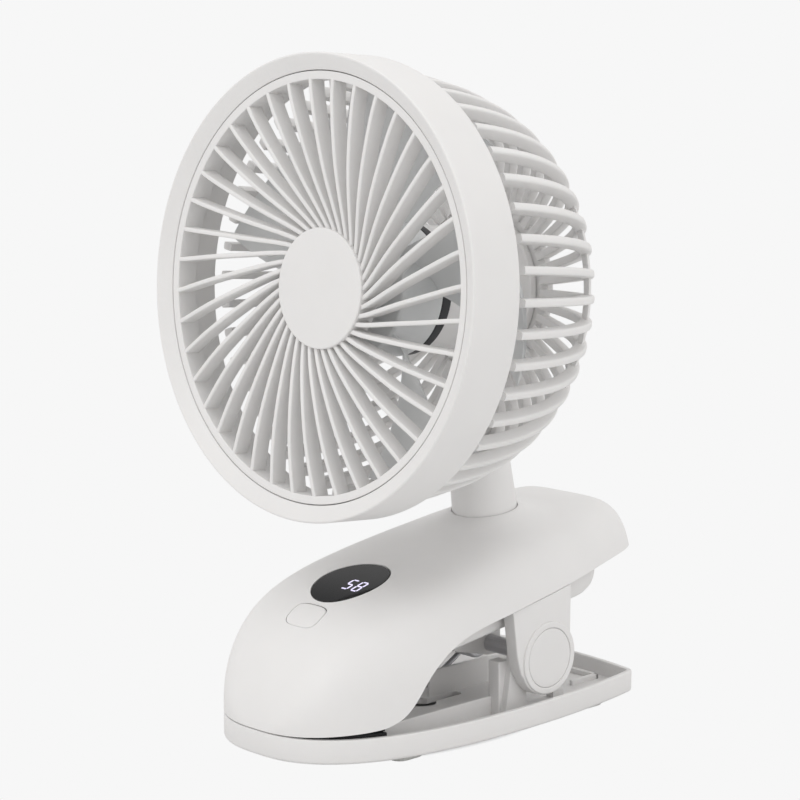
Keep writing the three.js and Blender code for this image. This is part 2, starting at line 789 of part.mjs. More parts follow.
function makeJawHousing() {
  const last = housingUnder[housingUnder.length - 1];
  const raised = (lift) => housingUnder.map(([y, z]) => [y, z + lift]).reverse();
  const body = [...housingUnder, [last[0] + 0.5, last[1] + housingDepth], ...raised(housingDepth)];
  const outside = sideProfile(body, -housingHalfWidth, housingHalfWidth).intersect(coverDome);
  const innerWidth = housingHalfWidth - housingWall;
  const hollowFloor = housingUnder.map(([y, z]) => [y + (y < -20 ? 1.4 : y > 46 ? -1.6 : 0), z + housingFloor]);
  const roof = hollowFloor.map(([y, z]) => [y, z + housingDepth + 8]).reverse();
  const hollow = sideProfile([...hollowFloor, ...roof], -innerWidth, innerWidth);
  const cavity = hollow.intersect(makeDome(shellWall + gap + housingWall, 14, 8));
  let housing = outside.subtract(cavity);
  const arm = makeArm();
  housing = union([housing, arm, mirrorX(arm)]);
  for (const [x, y] of screwPlaces) {
    const low = housingUnderside(y);
    const through = disc(screwShank + gap, low - 2, low + housingFloor + 2);
    const counterbore = disc(screwHead + gap, low - 3, low + 1.2);
    housing = housing.subtract(through.add(counterbore).translate([x, y, 0]));
  }
  const wall = makeSpringWall();
  return union([housing, wall, mirrorX(wall), makeBoardPosts()]).subtract(socketBlock(gap, 4));
}

/** A wall beside the spring, from its slanting lower edge up into the tray's floor. */
function makeSpringWall() {
  const [front, , rear] = springWallEdge;
  const top = [rear, front].map(([y]) => [y, housingUnderside(y) + housingFloor / 2]);
  const outer = springWallInner + springWallThickness;
  const wall = sideProfile([...springWallEdge, ...top], springWallInner, outer);
  return wall.subtract(barX(axleRadius + gap, springWallInner - 1, outer + 1, pivotY, pivotZ));
}

/** Two posts on the housing floor that carry the button's board. */
function makeBoardPosts() {
  const top = buttonBoardTop - boardThickness - gap;
  const above = onCrown(box([-20, -30, top], [20, 30, top + 30]), buttonY);
  const floor = housingUnder[0][1] + 1;
  const post = box([boardPostX, boardPostFrontY, floor], [boardPostX + boardPostWidth, boardPostRearY, buttonBoardZ]);
  const cut = post.subtract(above);
  return cut.add(mirrorX(cut));
}

function makeCap() {
  const face = armOuter + armBossHeight;
  return barX(capRadius, face - capThickness, face, pivotY, pivotZ, roundSteps);
}

function makeScrew() {
  const shank = disc(screwShank, 0.5, screwLength, 10);
  return shank.add(disc(screwHead, 0.9 - screwHeadHeight, 0.9, 14));
}

// ---------- display, button and electronics ----------

/** A skin cut out of the shell's surface, with a wider lip behind the shell wall. */
function flushInsert(outline, lipOutline, thickness, y) {
  const face = outerDome.intersect(onCrown(plan(outline, -14, 10), y));
  const lip = coverDome.intersect(onCrown(plan(lipOutline, -14, 10), y));
  return face.add(lip).subtract(makeDome(shellWall + gap + thickness, 18, 12));
}

/** How far such an insert reaches below the surface, square to it. */
function insertDepth(thickness, y) {
  const slope = crownSlope(y);
  return (shellWall + gap + thickness) * (Math.cos(slope) + Math.sin(slope));
}

function makeDisplayWindow() {
  return flushInsert(
    superellipse(displayHalfWidth, displayHalfLength, 2),
    superellipse(displayHalfWidth + flangeReach, displayHalfLength + flangeReach, 2),
    displayThickness,
    displayY,
  );
}

function makeButton() {
  return flushInsert(
    superellipse(buttonHalfWidth, buttonHalfLength, buttonPower),
    superellipse(buttonHalfWidth + flangeReach, buttonHalfLength + flangeReach, buttonPower),
    flangeThickness,
    buttonY,
  );
}

const digitTop = -insertDepth(displayThickness, displayY) - 2 * gap;

function makeDigitBlock() {
  const half = [digitBlockHalfWidth, digitBlockHalfLength];
  return onCrown(box([-half[0], -half[1], digitTop - digitBlock], [half[0], half[1], digitTop]), displayY);
}

function makeDisplayBoard() {
  const top = digitTop - digitBlock - gap;
  const half = [displayBoardHalfWidth, displayBoardHalfLength];
  return onCrown(box([-half[0], -half[1], top - boardThickness], [half[0], half[1], top]), displayY);
}

const switchTop = -insertDepth(flangeThickness, buttonY) - buttonTravel - 2 * gap;
const buttonBoardTop = switchTop - switchHeight - gap; // measured from the shell's surface, square to it
const buttonBoardZ = crown(buttonY); // the posts are cut off under the board, well below this

function makeSwitch() {
  const half = switchHalfWidth;
  return onCrown(box([-half, -half, switchTop - switchHeight], [half, half, switchTop]), buttonY);
}

function makeButtonBoard() {
  const half = [buttonBoardHalfWidth, buttonBoardHalfLength];
  const low = buttonBoardTop - boardThickness;
  return onCrown(box([-half[0], -half[1], low], [half[0], half[1], buttonBoardTop]), buttonY);
}

const floorSlope = Math.atan2(housingUnderside(40) - housingUnderside(0), 40);

/** A block lying on the housing's sloping floor, from frontY rearwards. */
function onFloor(halfWidth, length, height, frontY, lift) {
  const block = box([-halfWidth, 0, 0], [halfWidth, length, height]);
  return turnX(block, floorSlope).translate([0, frontY, housingFloorTop(frontY) + lift]);
}

function makeBattery() {
  return onFloor(batteryHalfWidth, batteryLength, batteryHeight, batteryFrontY, gap + 0.3);
}

function makeMainBoard() {
  return onFloor(mainBoardHalfWidth, mainBoardLength, boardThickness, mainBoardFrontY, gap + 0.1);
}

function socketBlock(grow, reach) {
  return box(
    [-socketHalfWidth - grow, socketRearY - socketLength - grow, socketZ - grow],
    [socketHalfWidth + grow, socketRearY + reach, socketZ + socketHeight + grow],
  );
}

function makeSocket() {
  const mouth = box(
    [-socketHalfWidth + socketWall, socketRearY - socketLength + 2 * socketWall, socketZ + socketWall],
    [socketHalfWidth - socketWall, socketRearY + 1, socketZ + socketHeight - socketWall],
  );
  return socketBlock(0, 0).subtract(mouth);
}

// ---------- neck ----------

function makeNeck() {
  const grooveTop = -neckBossDepth;
  const grooveLow = grooveTop - retainerThickness - 2 * gap;
  const column = turned([
    [0, -neckStub], [neckRadius, -neckStub], [neckRadius, grooveLow], [neckGroove, grooveLow],
    [neckGroove, grooveTop], [neckRadius, grooveTop], [neckRadius, 2], [neckTopRadius, tiltHeight - 6],
    [neckTopRadius, tiltHeight + 12], [0, tiltHeight + 12],
  ]);
  const fork = sideProfile([
    [forkRadius, 0], ...arc(0, tiltHeight, forkRadius, 0, 180, 14), [-forkRadius, 0],
  ], -neckRadius, neckRadius);
  const below = turned([[0, -30], [20, -30], [20, tiltHeight - 8], [0, tiltHeight - 8]]);
  const slotFloor = tiltHeight - lugRadius - 0.8;
  const slot = sideProfile([
    [-20, slotFloor], [20, slotFloor], [20, tiltHeight + 20], [-20, tiltHeight + 20],
  ], -forkSlot, forkSlot);
  const pinBore = barX(tiltPinRadius + gap, -20, 20, 0, tiltHeight);
  const headSeats = [1, -1].map((side) => {
    const seat = barX(tiltPinHead + gap, tiltSeat, 20, 0, tiltHeight);
    return side > 0 ? seat : mirrorX(seat);
  });
  const wire = disc(neckBore, -neckStub - 1, slotFloor + 1);
  const whole = column.intersect(fork.add(below)).subtract(slot).subtract(pinBore);
  return onNeck(whole.subtract(wire).subtract(headSeats[0]).subtract(headSeats[1]));
}

function makeRetainer() {
  const top = -neckBossDepth - gap;
  return onNeck(turned([
    [neckGroove + gap, top - retainerThickness], [retainerRadius, top - retainerThickness],
    [retainerRadius, top], [neckGroove + gap, top],
  ]));
}

/** Shoulder screw through the fork, and its nut. */
function makeTiltPin() {
  const seat = tiltSeat;
  const shank = barX(tiltPinRadius, -seat - 0.4, seat + 1, 0, tiltHeight);
  const head = barX(tiltPinHead, seat + gap, seat + 2, 0, tiltHeight);
  return onNeck(shank.add(head));
}

function makeTiltNut() {
  const seat = tiltSeat;
  const nut = barX(tiltPinHead, -seat - 2, -seat - gap, 0, tiltHeight, 6);
  return onNeck(nut.subtract(barX(tiltPinRadius + gap, -seat - 1, -seat, 0, tiltHeight)));
}

// ---------- fan head, about Z with the front face at Z = 0 and depth downwards ----------

/** Turns about Z for a profile given as [radius, depth] pairs. */
const headTurned = (profile, segments = ribCount) => turned(profile.map(([r, d]) => [r, -d]), segments);

const lipSlope = (ringInner - ringLipRadius) * 0.2; // the back of the lip and the flange behind it lean alike

function makeFrontRing() {
  const lipBack = ringLipDepth + ringLipThickness;
  return headTurned([
    [ringRadius - ringEdgeRound, 0], [ringLipRadius, ringLipDepth], [ringLipRadius, lipBack],
    [ringInner, lipBack + lipSlope], [ringInner, ringDepth], [ringRadius, ringDepth], [ringRadius, ringEdgeRound],
  ], ringSteps);
}

const power = (terms, t) => terms.reduce((sum, term, i) => sum + term * t ** i, 0);
const vaneAngle = (t) => power(vaneTurn, t);
const vaneDepth = (t) => power(vaneFall, t);

/** A curved slat from the rim to the hub. */
function makeVane() {
  const outer = grilleRim + vaneRoot;
  const inner = hubRadius - vaneRoot;
  const rings = [];
  const steps = 5;
  for (let i = 0; i <= steps; i++) {
    const t = i / steps;
    const radius = outer + (inner - outer) * t;
    const a = vaneAngle(t);
    const next = vaneAngle(t + 0.01);
    const along = new THREE.Vector2(inner - outer, (radius * (next - a)) / 0.01).normalize();
    const centre = new THREE.Vector2(Math.sin(a), Math.cos(a)).multiplyScalar(radius);
    const radial = new THREE.Vector2(Math.sin(a), Math.cos(a));
    const across = new THREE.Vector2(Math.cos(a), -Math.sin(a));
    const side = radial.clone().multiplyScalar(-along.y).addScaledVector(across, along.x);
    side.multiplyScalar(vaneThickness / 2);
    const front = -vaneDepth(t);
    rings.push([
      [centre.x + side.x, centre.y + side.y, front], [centre.x - side.x, centre.y - side.y, front],
      [centre.x - side.x, centre.y - side.y, front - vaneHeight],
      [centre.x + side.x, centre.y + side.y, front - vaneHeight],
    ]);
  }
  return loft(rings);
}

function makeFrontGrille() {
  const collarOuter = ringLipRadius - gap;
  const flangeFront = ringLipDepth + ringLipThickness + gap;
  const flangeBack = flangeFront + lipSlope + grilleFlangeThickness;
  const flangeOuter = ringInner - gap;
  const collar = headTurned([
    [grilleRim, ringLipDepth + gap], [grilleRim, grilleCollarDepth], [collarOuter, grilleCollarDepth],
    [collarOuter, flangeBack], [flangeOuter, flangeBack], [flangeOuter, flangeFront + lipSlope],
    [collarOuter, flangeFront], [collarOuter, ringLipDepth],
  ], ringSteps);
  const hub = headTurned([
    [0, hubDepth], [hubRadius, hubDepth], [hubRadius, hubSkirt], [hubRadius - hubWall, hubSkirt],
    [hubRadius - hubWall, hubDepth + hubWall], [0, hubDepth + hubWall],
  ], 40);
  const vane = makeVane();
  const vanes = [];
  for (let i = 0; i < vaneCount; i++) {
    vanes.push(vane.rotate([0, 0, -vanePhase / degree - (i * 360) / vaneCount]));
  }
  return union([collar, hub, ...vanes]);
}

/** Radius of the cage's envelope at a depth. */
function cageEnvelope(depth) {
  const t = clamp01((depth - cageStart) / cageDepth);
  return cageRadius * (1 - t ** cagePower) ** (1 / cageRootPower);
}

/** A rib from the collar, over the shoulder and in to the rear disc. */
function makeRib() {
  const rings = [];
  const depths = ribStations.map((share) => cageStart + share * cageDepth);
  const path = depths.map((d) => [cageEnvelope(d), d]);
  path.push([cageDisc - ribWidth / 2, cageStart + cageDepth]);
  path.forEach(([radius, depth], i) => {
    const before = path[Math.max(i - 1, 0)];
    const after = path[Math.min(i + 1, path.length - 1)];
    const along = new THREE.Vector2(after[0] - before[0], after[1] - before[1]).normalize();
    const inward = i === 0 ? [-1, 0] : [-along.y, along.x];
    const half = ribWidth / 2;
    const deep = [radius + inward[0] * ribHeight, depth + inward[1] * ribHeight];
    rings.push([
      [-half, radius, -depth], [half, radius, -depth],
      [half, deep[0], -deep[1]], [-half, deep[0], -deep[1]],
    ]);
  });
  return loft(rings);
}

function makeRearCage() {
  const collar = headTurned([
    [cageCollarInner, cageCollarFront], [ringInner - gap, cageCollarFront],
    [ringInner - gap, ringDepth + gap], [cageEnvelope(cageCollarRear), cageCollarRear],
    [cageCollarInner, cageCollarRear],
  ]);
  const rear = cageStart + cageDepth;
  const rearDisc = headTurned([
    [0, rear - cageDiscThickness], [cageDisc, rear - cageDiscThickness], [cageDisc, rear - cageDiscRound],
    [cageDisc - cageDiscRound, rear], [0, rear],
  ], ribCount);
  const hoopOuter = cageEnvelope(hoopDepth) - hoopInset;
  const hoop = headTurned([
    [hoopOuter + hoopSlope, hoopDepth - hoopWidth / 2], [hoopOuter - hoopSlope, hoopDepth + hoopWidth / 2],
    [hoopOuter - hoopSlope - hoopThickness, hoopDepth + hoopWidth / 2],
    [hoopOuter + hoopSlope - hoopThickness, hoopDepth - hoopWidth / 2],
  ]);
  const rib = makeRib();
  const ribs = [];
  for (let i = 0; i < ribCount; i++) {
    ribs.push(rib.rotate([0, 0, -ribPhase / degree - (i * 360) / ribCount]));
  }
  let cage = union([collar, rearDisc, hoop, ...ribs]);
  const [up, front] = [pivotDown, pivotFront];
  const round = forkRadius + saddleClearance;
  const block = barX(round + saddleWall, -saddleHalfWidth, saddleHalfWidth, up, front, 36);
  const shoulder = [0.32, 0.55, 0.72, 0.83, 0.908, 0.97, 0.993].map((share) => cageStart + share * cageDepth);
  const envelope = headTurned([
    [0, cageStart], [cageRadius, cageStart], ...shoulder.map((d) => [cageEnvelope(d), d]),
    [cageDisc, rear], [0, rear],
  ], ribCount);
  const saddle = block.intersect(envelope);
  const pocket = barX(round, -neckRadius - saddleClearance, neckRadius + saddleClearance, up, front, 36);
  const web = sideProfile([
    [up, front - lugRadius + 1], [up + lugWebReach, front + lugWebRear],
    [up + lugWebReach, front + lugWebFront], [up + 2, front + lugWebFront + 1.5],
  ], -lugHalfWidth, lugHalfWidth);
  const lug = barX(lugRadius, -lugHalfWidth, lugHalfWidth, up, front, 28).add(web);
  const slotClear = forkRadius + saddleClearance + saddleWall + 0.5;
  const lugRoom = barX(slotClear, -saddleHalfWidth, saddleHalfWidth, up, front, 36);
  cage = cage.add(saddle).subtract(pocket).add(lug.intersect(lugRoom));
  cage = cage.subtract(barX(tiltPinRadius + gap, -20, 20, up, front));
  return cage.subtract(disc(shaftRadius + 1, -rear - 1, -rear + cageDiscThickness - 1.4));
}

/** Cup that holds the motor, screwed to the cage's rear disc. */
function makeMotorMount() {
  const seat = cageStart + cageDepth - cageDiscThickness - gap;
  const bore = motorRadius + gap;
  const lip = motorFront + motorRimDepth + gap;
  return headTurned([
    [0, motorRear + gap], [bore, motorRear + gap], [bore, lip],
    [bore + mountWall, lip], [bore + mountWall, seat - mountFlangeThickness],
    [mountFlange, seat - mountFlangeThickness], [mountFlange, seat], [0, seat],
  ], 36);
}

function makeMotorCan() {
  return headTurned([
    [0, motorFront], [motorRim - motorEdge, motorFront], [motorRim, motorFront + motorEdge],
    [motorRim, motorFront + motorRimDepth], [motorRadius, motorFront + motorRimDepth],
    [motorRadius, motorRear], [0, motorRear],
  ], roundSteps).subtract(disc(shaftRadius + gap, -motorFront - shaftInCan - 1, -motorFront + 1));
}

function makeShaft() {
  return disc(shaftRadius, -motorFront - shaftInCan, -shaftFront);
}

/** A sheet whose angle and depth grow together along its chord, from inside the hub's wall to the tip. */
function makeBlade() {
  const bladeRoot = impellerHub - impellerHubWall / 2;
  const rings = [];
  const steps = 4;
  for (let i = 0; i <= steps; i++) {
    const t = i / steps;
    const radius = bladeRoot + (impellerRadius - bladeRoot) * t;
    const span = bladeSpan * (0.86 + 0.3 * t);
    const lead = bladeTwist * t * 0.5;
    const ring = [];
    const chordSteps = 3;
    for (const face of [1, -1]) {
      for (let k = 0; k <= chordSteps; k++) {
        const share = face > 0 ? k / chordSteps : 1 - k / chordSteps;
        const a = lead + (share - 0.5) * span;
        const sag = Math.sin(share * Math.PI) * bladeBelly;
        const edge = k === 0 || k === chordSteps ? 0.35 : 0.5;
        const chordDepth = bladeMargin + (impellerDepth - 2 * bladeMargin) * share;
        const depth = impellerFront + chordDepth + sag + face * bladeThickness * edge;
        ring.push([radius * Math.sin(a), radius * Math.cos(a), -depth]);
      }
    }
    rings.push(ring);
  }
  return loft(rings);
}

function makeImpeller() {
  const back = impellerFront + impellerDepth;
  const hub = headTurned([
    [shaftRadius + 0.1, impellerFront], [impellerHub - 1.5, impellerFront], [impellerHub, impellerFront + 1.5],
    [impellerHub, back], [impellerHub - impellerHubWall, back],
    [impellerHub - impellerHubWall, impellerFront + impellerHubWall + 1],
    [shaftRadius + 2.2, impellerFront + impellerHubWall + 1], [shaftRadius + 2.2, back - 4],
    [shaftRadius + 0.1, back - 4],
  ], 36);
  const blade = makeBlade();
  const blades = [];
  for (let i = 0; i < bladeCount; i++) blades.push(blade.rotate([0, 0, (i * 360) / bladeCount]));
  const inside = disc(impellerHub - gap, -back - bladeBelly - 2, -impellerFront + 2, 36);
  return hub.add(union(blades).subtract(inside));
}

function makeNut() {
  const nut = disc(nutRadius, -impellerFront + gap, -impellerFront + gap + nutThickness, 12);
  return nut.subtract(disc(shaftRadius + 0.1, -impellerFront - 1, -impellerFront + 10));
}

// ---------- materials ----------

function plastic(colour, roughness) {
  return new THREE.MeshStandardMaterial({ color: colour, roughness, metalness: 0 });
}

function metal(colour, roughness) {
  return new THREE.MeshStandardMaterial({ color: colour, roughness, metalness: 1 });
}

const white = () => plastic(0xeeeeec, 0.5);
const clearWhite = () => plastic(0xdfe1e2, 0.35);
const blackGloss = () => plastic(0x08080a, 0.12);
const rubber = () => plastic(0x1c1c1e, 0.85);
const paleRubber = () => plastic(0xd9d9d6, 0.8);
const circuit = () => plastic(0x1f6a3c, 0.5);
const steel = () => metal(0xb9bbbe, 0.35);
const batteryWrap = () => plastic(0x3b7fb0, 0.4);

// ---------- assembly ----------

const fan = new THREE.Group();
const head = new THREE.Group();
head.position.set(0, ringFrontY, ringCentreZ);
head.rotation.x = Math.PI / 2 - headTilt;
fan.add(head);

function addPiece(parent, name, body, material) {
  const mesh = new THREE.Mesh(toGeometry(body), material);
  mesh.name = name;
  parent.add(mesh);
  return mesh;
}

addPiece(fan, 'base_plate', makeBasePlate(), white());
for (const [name, x, y] of footPlaces) {
  addPiece(fan, name, makeFoot(), paleRubber()).position.set(x, y, 0);
}
addPiece(fan, 'lower_pad', makeLowerPad(), rubber());
addPiece(fan, 'pivot_axle', makeAxle(), steel());
addPiece(fan, 'torsion_spring', makeSpring(), steel());

addPiece(fan, 'upper_shell', makeUpperShell(), white());
addPiece(fan, 'jaw_housing', makeJawHousing(), white());
addPiece(fan, 'pivot_cap_right', makeCap(), white());
addPiece(fan, 'pivot_cap_left', mirrorX(makeCap()), white());
addPiece(fan, 'upper_pad', makeUpperPad(), rubber());
screwPlaces.forEach(([x, y], i) => {
  const screw = addPiece(fan, `housing_screw_${i + 1}`, makeScrew(), steel());
  screw.position.set(x, y, housingUnderside(y));
});
addPiece(fan, 'display_window', makeDisplayWindow(), blackGloss());
addPiece(fan, 'digit_display', makeDigitBlock(), plastic(0x202024, 0.4));
addPiece(fan, 'display_board', makeDisplayBoard(), circuit());
addPiece(fan, 'power_button', makeButton(), white());
addPiece(fan, 'button_switch', makeSwitch(), plastic(0x2a2a2c, 0.5));
addPiece(fan, 'button_board', makeButtonBoard(), circuit());
addPiece(fan, 'battery_pack', makeBattery(), batteryWrap());
addPiece(fan, 'main_board', makeMainBoard(), circuit());
addPiece(fan, 'charging_socket', makeSocket(), steel());

addPiece(fan, 'neck', makeNeck(), white());
addPiece(fan, 'neck_retainer', makeRetainer(), white());
addPiece(fan, 'tilt_screw', makeTiltPin(), steel());
addPiece(fan, 'tilt_nut', makeTiltNut(), steel());

addPiece(head, 'front_ring', makeFrontRing(), white());
addPiece(head, 'front_grille', makeFrontGrille(), white());
addPiece(head, 'rear_cage', makeRearCage(), white());
addPiece(head, 'motor_mount', makeMotorMount(), white());
addPiece(head, 'motor_can', makeMotorCan(), plastic(0x1d1d20, 0.35));
addPiece(head, 'motor_shaft', makeShaft(), steel());
addPiece(head, 'impeller', makeImpeller(), clearWhite());
addPiece(head, 'impeller_nut', makeNut(), white());

// The origin lies on the table under the middle of the whole fan.
fan.position.y = -(shellTailY + plateNoseY) / 2;

export default fan;
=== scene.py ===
"""Looks of the clip fan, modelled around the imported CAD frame.

Shapes are worked out in millimetres in the part's own frame (Z up, the fan faces -Y, feet at Z = 0) and are
written to Blender in metres. Every visible shell is an array of points on a grid, or an outline carried along
a profile, so that its curves stay smooth close up.
"""

import json
import math

import bmesh
import bpy
import numpy as np
from mathutils import Matrix, Vector

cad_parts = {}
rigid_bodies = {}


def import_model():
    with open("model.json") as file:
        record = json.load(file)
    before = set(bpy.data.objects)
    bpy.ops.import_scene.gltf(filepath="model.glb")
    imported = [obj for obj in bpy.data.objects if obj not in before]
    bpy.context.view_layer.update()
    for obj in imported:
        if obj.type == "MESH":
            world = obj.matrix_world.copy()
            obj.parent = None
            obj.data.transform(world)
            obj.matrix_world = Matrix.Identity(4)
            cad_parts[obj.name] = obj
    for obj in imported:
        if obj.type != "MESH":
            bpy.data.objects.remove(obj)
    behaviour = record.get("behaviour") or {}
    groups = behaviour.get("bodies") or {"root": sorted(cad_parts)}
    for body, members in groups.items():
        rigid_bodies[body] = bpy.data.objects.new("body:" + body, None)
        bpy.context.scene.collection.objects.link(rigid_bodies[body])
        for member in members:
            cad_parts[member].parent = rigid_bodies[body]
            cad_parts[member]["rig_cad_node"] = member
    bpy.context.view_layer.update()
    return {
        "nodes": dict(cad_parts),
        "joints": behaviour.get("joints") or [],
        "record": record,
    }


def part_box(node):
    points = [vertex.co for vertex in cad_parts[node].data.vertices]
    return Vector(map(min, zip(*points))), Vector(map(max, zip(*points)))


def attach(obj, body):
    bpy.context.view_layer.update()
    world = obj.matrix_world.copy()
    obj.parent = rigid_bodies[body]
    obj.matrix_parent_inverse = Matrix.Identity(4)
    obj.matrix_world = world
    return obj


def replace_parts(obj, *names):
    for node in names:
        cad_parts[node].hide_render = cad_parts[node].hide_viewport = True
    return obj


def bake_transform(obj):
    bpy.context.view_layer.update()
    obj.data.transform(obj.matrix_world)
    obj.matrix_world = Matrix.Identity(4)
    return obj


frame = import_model()

MM = 0.001

# ---------------------------------------------------------------- places taken from the frame

joints = {j["name"]: j for j in frame["joints"]}


def joint_place(name):
    """A joint's point, in millimetres."""
    return np.array(joints[name]["pos_m"], float) / MM


def joint_axis(name):
    axis = np.array(joints[name]["axis"], float)
    return axis / np.linalg.norm(axis)


def low(node):
    return np.array(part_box(node)[0]) / MM


def high(node):
    return np.array(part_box(node)[1]) / MM


HEAD = joint_place("impeller_spin")  # centre of the ring's front face
HEAD_FRONT = joint_axis("impeller_spin")
NECK = joint_place("neck_swivel")  # centre of the seam between neck and shell
NECK_UP = joint_axis("neck_swivel")
TILT = joint_place("head_tilt")
PIVOT = joint_place("clip_jaw")

# ---------------------------------------------------------------- base plate and pads

PLATE_NOSE = low("base_plate")[1]
PLATE_REAR = high("base_plate")[1]
PLATE_HALF = high("base_plate")[0]
PLATE_WIDEST = PLATE_NOSE + 83.2  # where the plate is widest
PLATE_NOSE_POWER = 2.6
PLATE_TAPER = 0.00174  # the sides draw in behind the widest point
PLATE_BOW = 342.0  # the rear edge bows by x * x / bow
PLATE_BOTTOM = low("base_plate")[2]
PLATE_FLOOR = 4.0
RIM_NOSE = 10.2
RIM_REAR = 9.6
RIM_WALL = 1.9
EAR_INNER = 29.0  # walls that carry the axle
EAR_OUTER = 32.1
EAR_RADIUS = 12.0
POST_INNER = 24.5  # a lower post stands inside each ear's front edge
POST_TOP = 22.5
GUIDE = (-3.6, -2.4)  # low wall beside the spring's lower leg

# ---------------------------------------------------------------- shell of the upper jaw

DOME_FOOT = 10.2  # height that the dome's sections spring from
TAIL_Y = PLATE_NOSE + 153.8
TAIL_BLEND = PLATE_NOSE + 128.4
CROWN = (41.7, 41.0, -14.8)  # crown height: start, rise and sag along the plate
NOSE_BLEND = PLATE_NOSE + 63.8
NOSE_POWERS = (4.775, 1.3)
TAIL_POWERS = (7.2, 8.0)
DOME_POWERS = (3.35, 4.78)
SIDE_DRAFT = 2.6
SHELL_WALL = 2.0
COLLAR_RISE = 4.2
COLLAR_REACH = 15.2
NECK_RADIUS = 11.2
SHELL_EDGE = np.array([
    (-79.1, 10.5), (-65.0, 11.5), (-52.7, 12.7), (-47.2, 14.7), (-44.1, 16.9), (-40.7, 20.8), (-37.5, 25.2),
    (-33.8, 29.4), (-27.7, 34.2), (-21.1, 37.3), (-12.9, 39.4), (3.4, 41.8), (27.6, 45.3), (53.4, 49.4),
    (80.9, 53.2),
])  # lower edge seen from the side

DISPLAY_Y = -34.3
DISPLAY_HALF = (12.4, 14.1)
BUTTON_Y = -54.1
BUTTON_HALF = (7.0, 5.0)
BUTTON_POWER = 3.4
SEAM = 0.25  # gap round the window and the button

# ---------------------------------------------------------------- fan head

RING_R = high("front_ring")[0]
RING_INNER = 72.5
RING_DEPTH = 20.0
LIP_R = 69.4
LIP_DEPTH = 2.64
GRILLE_R = 66.4
GRILLE_DEPTH = 10.5
HUB_R = 19.5
HUB_DEPTH = 6.0
HUB_REAR = 14.0
HUB_WALL = 1.6
VANES = 40
VANE_PHASE = math.radians(3.14)
VANE_SIZE = (1.5, 6.0)
RIBS = 44
RIB_PHASE = math.radians(-1.5)
RIB_SIZE = (2.7, 4.3)
CAGE_R = 71.74
CAGE_START = 19.5
CAGE_DEPTH = 64.45
CAGE_POWERS = (1.88, 5.87)
DISC_R = 30.5
HOOP_DEPTH = 73.6
SADDLE_RADIUS = 13.4  # the cage's shell round the neck's cheeks
SADDLE_HALF = 13.6
SADDLE_POCKET = 11.0
SADDLE_POCKET_HALF = 12.2
LUG_HALF = 4.6
BLADES = 5
IMPELLER_R = 64.0
IMPELLER_HUB = 22.5
IMPELLER_FRONT = 22.0
IMPELLER_DEPTH = 18.0
MOTOR_RADIUS = 18.5
MOTOR_FRONT = 40.5
MOTOR_REAR = 64.0
MOTOR_FLANGE = 3.8
CUP_FLANGE = 26.0
GAP = 0.3  # between neighbours

# ---------------------------------------------------------------- mesh helpers


def unit(v):
    return v / np.maximum(np.linalg.norm(v, axis=-1, keepdims=True), 1e-12)


def head_frame():
    """Rows X, up and front of the fan head."""
    side = np.array([1.0, 0.0, 0.0])
    return np.array([side, np.cross(HEAD_FRONT, side), HEAD_FRONT])


def neck_frame():
    side = np.array([1.0, 0.0, 0.0])
    return np.array([side, np.cross(NECK_UP, side), NECK_UP])


def in_head(points):
    """Points (x, up, depth behind the ring's front) carried to the part's frame."""
    return HEAD + (np.asarray(points) * [1, 1, -1]) @ head_frame()


def in_neck(points):
    """Points about the neck's axis, height above the seam, carried to the part's frame."""
    return NECK + np.asarray(points) @ neck_frame()


def shade(mesh, angle=35.0):
    """Smooth faces with sharp edges beyond an angle in degrees."""
    mesh.polygons.foreach_set("use_smooth", np.ones(len(mesh.polygons), bool))
    mesh.set_sharp_from_angle(angle=math.radians(angle))


def new_mesh(name, points, quads=(), caps=(), smooth=35.0):
    """A mesh from points in millimetres, an array of quads and a few flat polygons."""
    mesh = bpy.data.meshes.new(name)
    quads = np.asarray(quads, np.int32).reshape(-1, 4)
    sizes = np.concatenate([np.full(len(quads), 4), [len(c) for c in caps]]).astype(np.int32)
    corners = np.concatenate([quads.ravel(), *[np.asarray(c, np.int32) for c in caps]]).astype(np.int32)
    points = np.asarray(points, float).reshape(-1, 3) * MM
    mesh.vertices.add(len(points))
    mesh.vertices.foreach_set("co", points.ravel())
    mesh.loops.add(len(corners))
    mesh.loops.foreach_set("vertex_index", corners)
    mesh.polygons.add(len(sizes))
    mesh.polygons.foreach_set("loop_start", np.concatenate([[0], np.cumsum(sizes)[:-1]]).astype(np.int32))
    mesh.update(calc_edges=True)
    mesh.validate()
    shade(mesh, smooth)
    piece = bpy.data.objects.new(name, mesh)
    bpy.context.scene.collection.objects.link(piece)
    return piece


def grid_quads(rows, columns, wrap_rows=False, wrap_columns=False, start=0):
    """Quads of a grid of points stored row by row."""
    r = np.arange(rows if wrap_rows else rows - 1)
    c = np.arange(columns if wrap_columns else columns - 1)
    r, c = np.meshgrid(r, c, indexing="ij")
    r2, c2 = (r + 1) % rows, (c + 1) % columns
    quads = np.stack([r * columns + c, r * columns + c2, r2 * columns + c2, r2 * columns + c], -1)
    return quads.reshape(-1, 4) + start


def fix_normals(piece):
    """Turns every closed shell of a piece to face outward."""
    work = bmesh.new()
    work.from_mesh(piece.data)
    bmesh.ops.recalc_face_normals(work, faces=work.faces)
    work.to_mesh(piece.data)
    work.free()
    return piece


def end_caps(rows, columns, start=0):
    """The first and the last row of a grid as flat polygons."""
    return [start + np.arange(columns), start + (rows - 1) * columns + np.arange(columns)]


def closed_loft(name, rings):
    """Closed rings of points joined in turn, with flat ends."""
    rows, columns = len(rings), len(rings[0])
    quads = grid_quads(rows, columns, False, True)
    return fix_normals(new_mesh(name, np.concatenate(rings), quads, end_caps(rows, columns)))


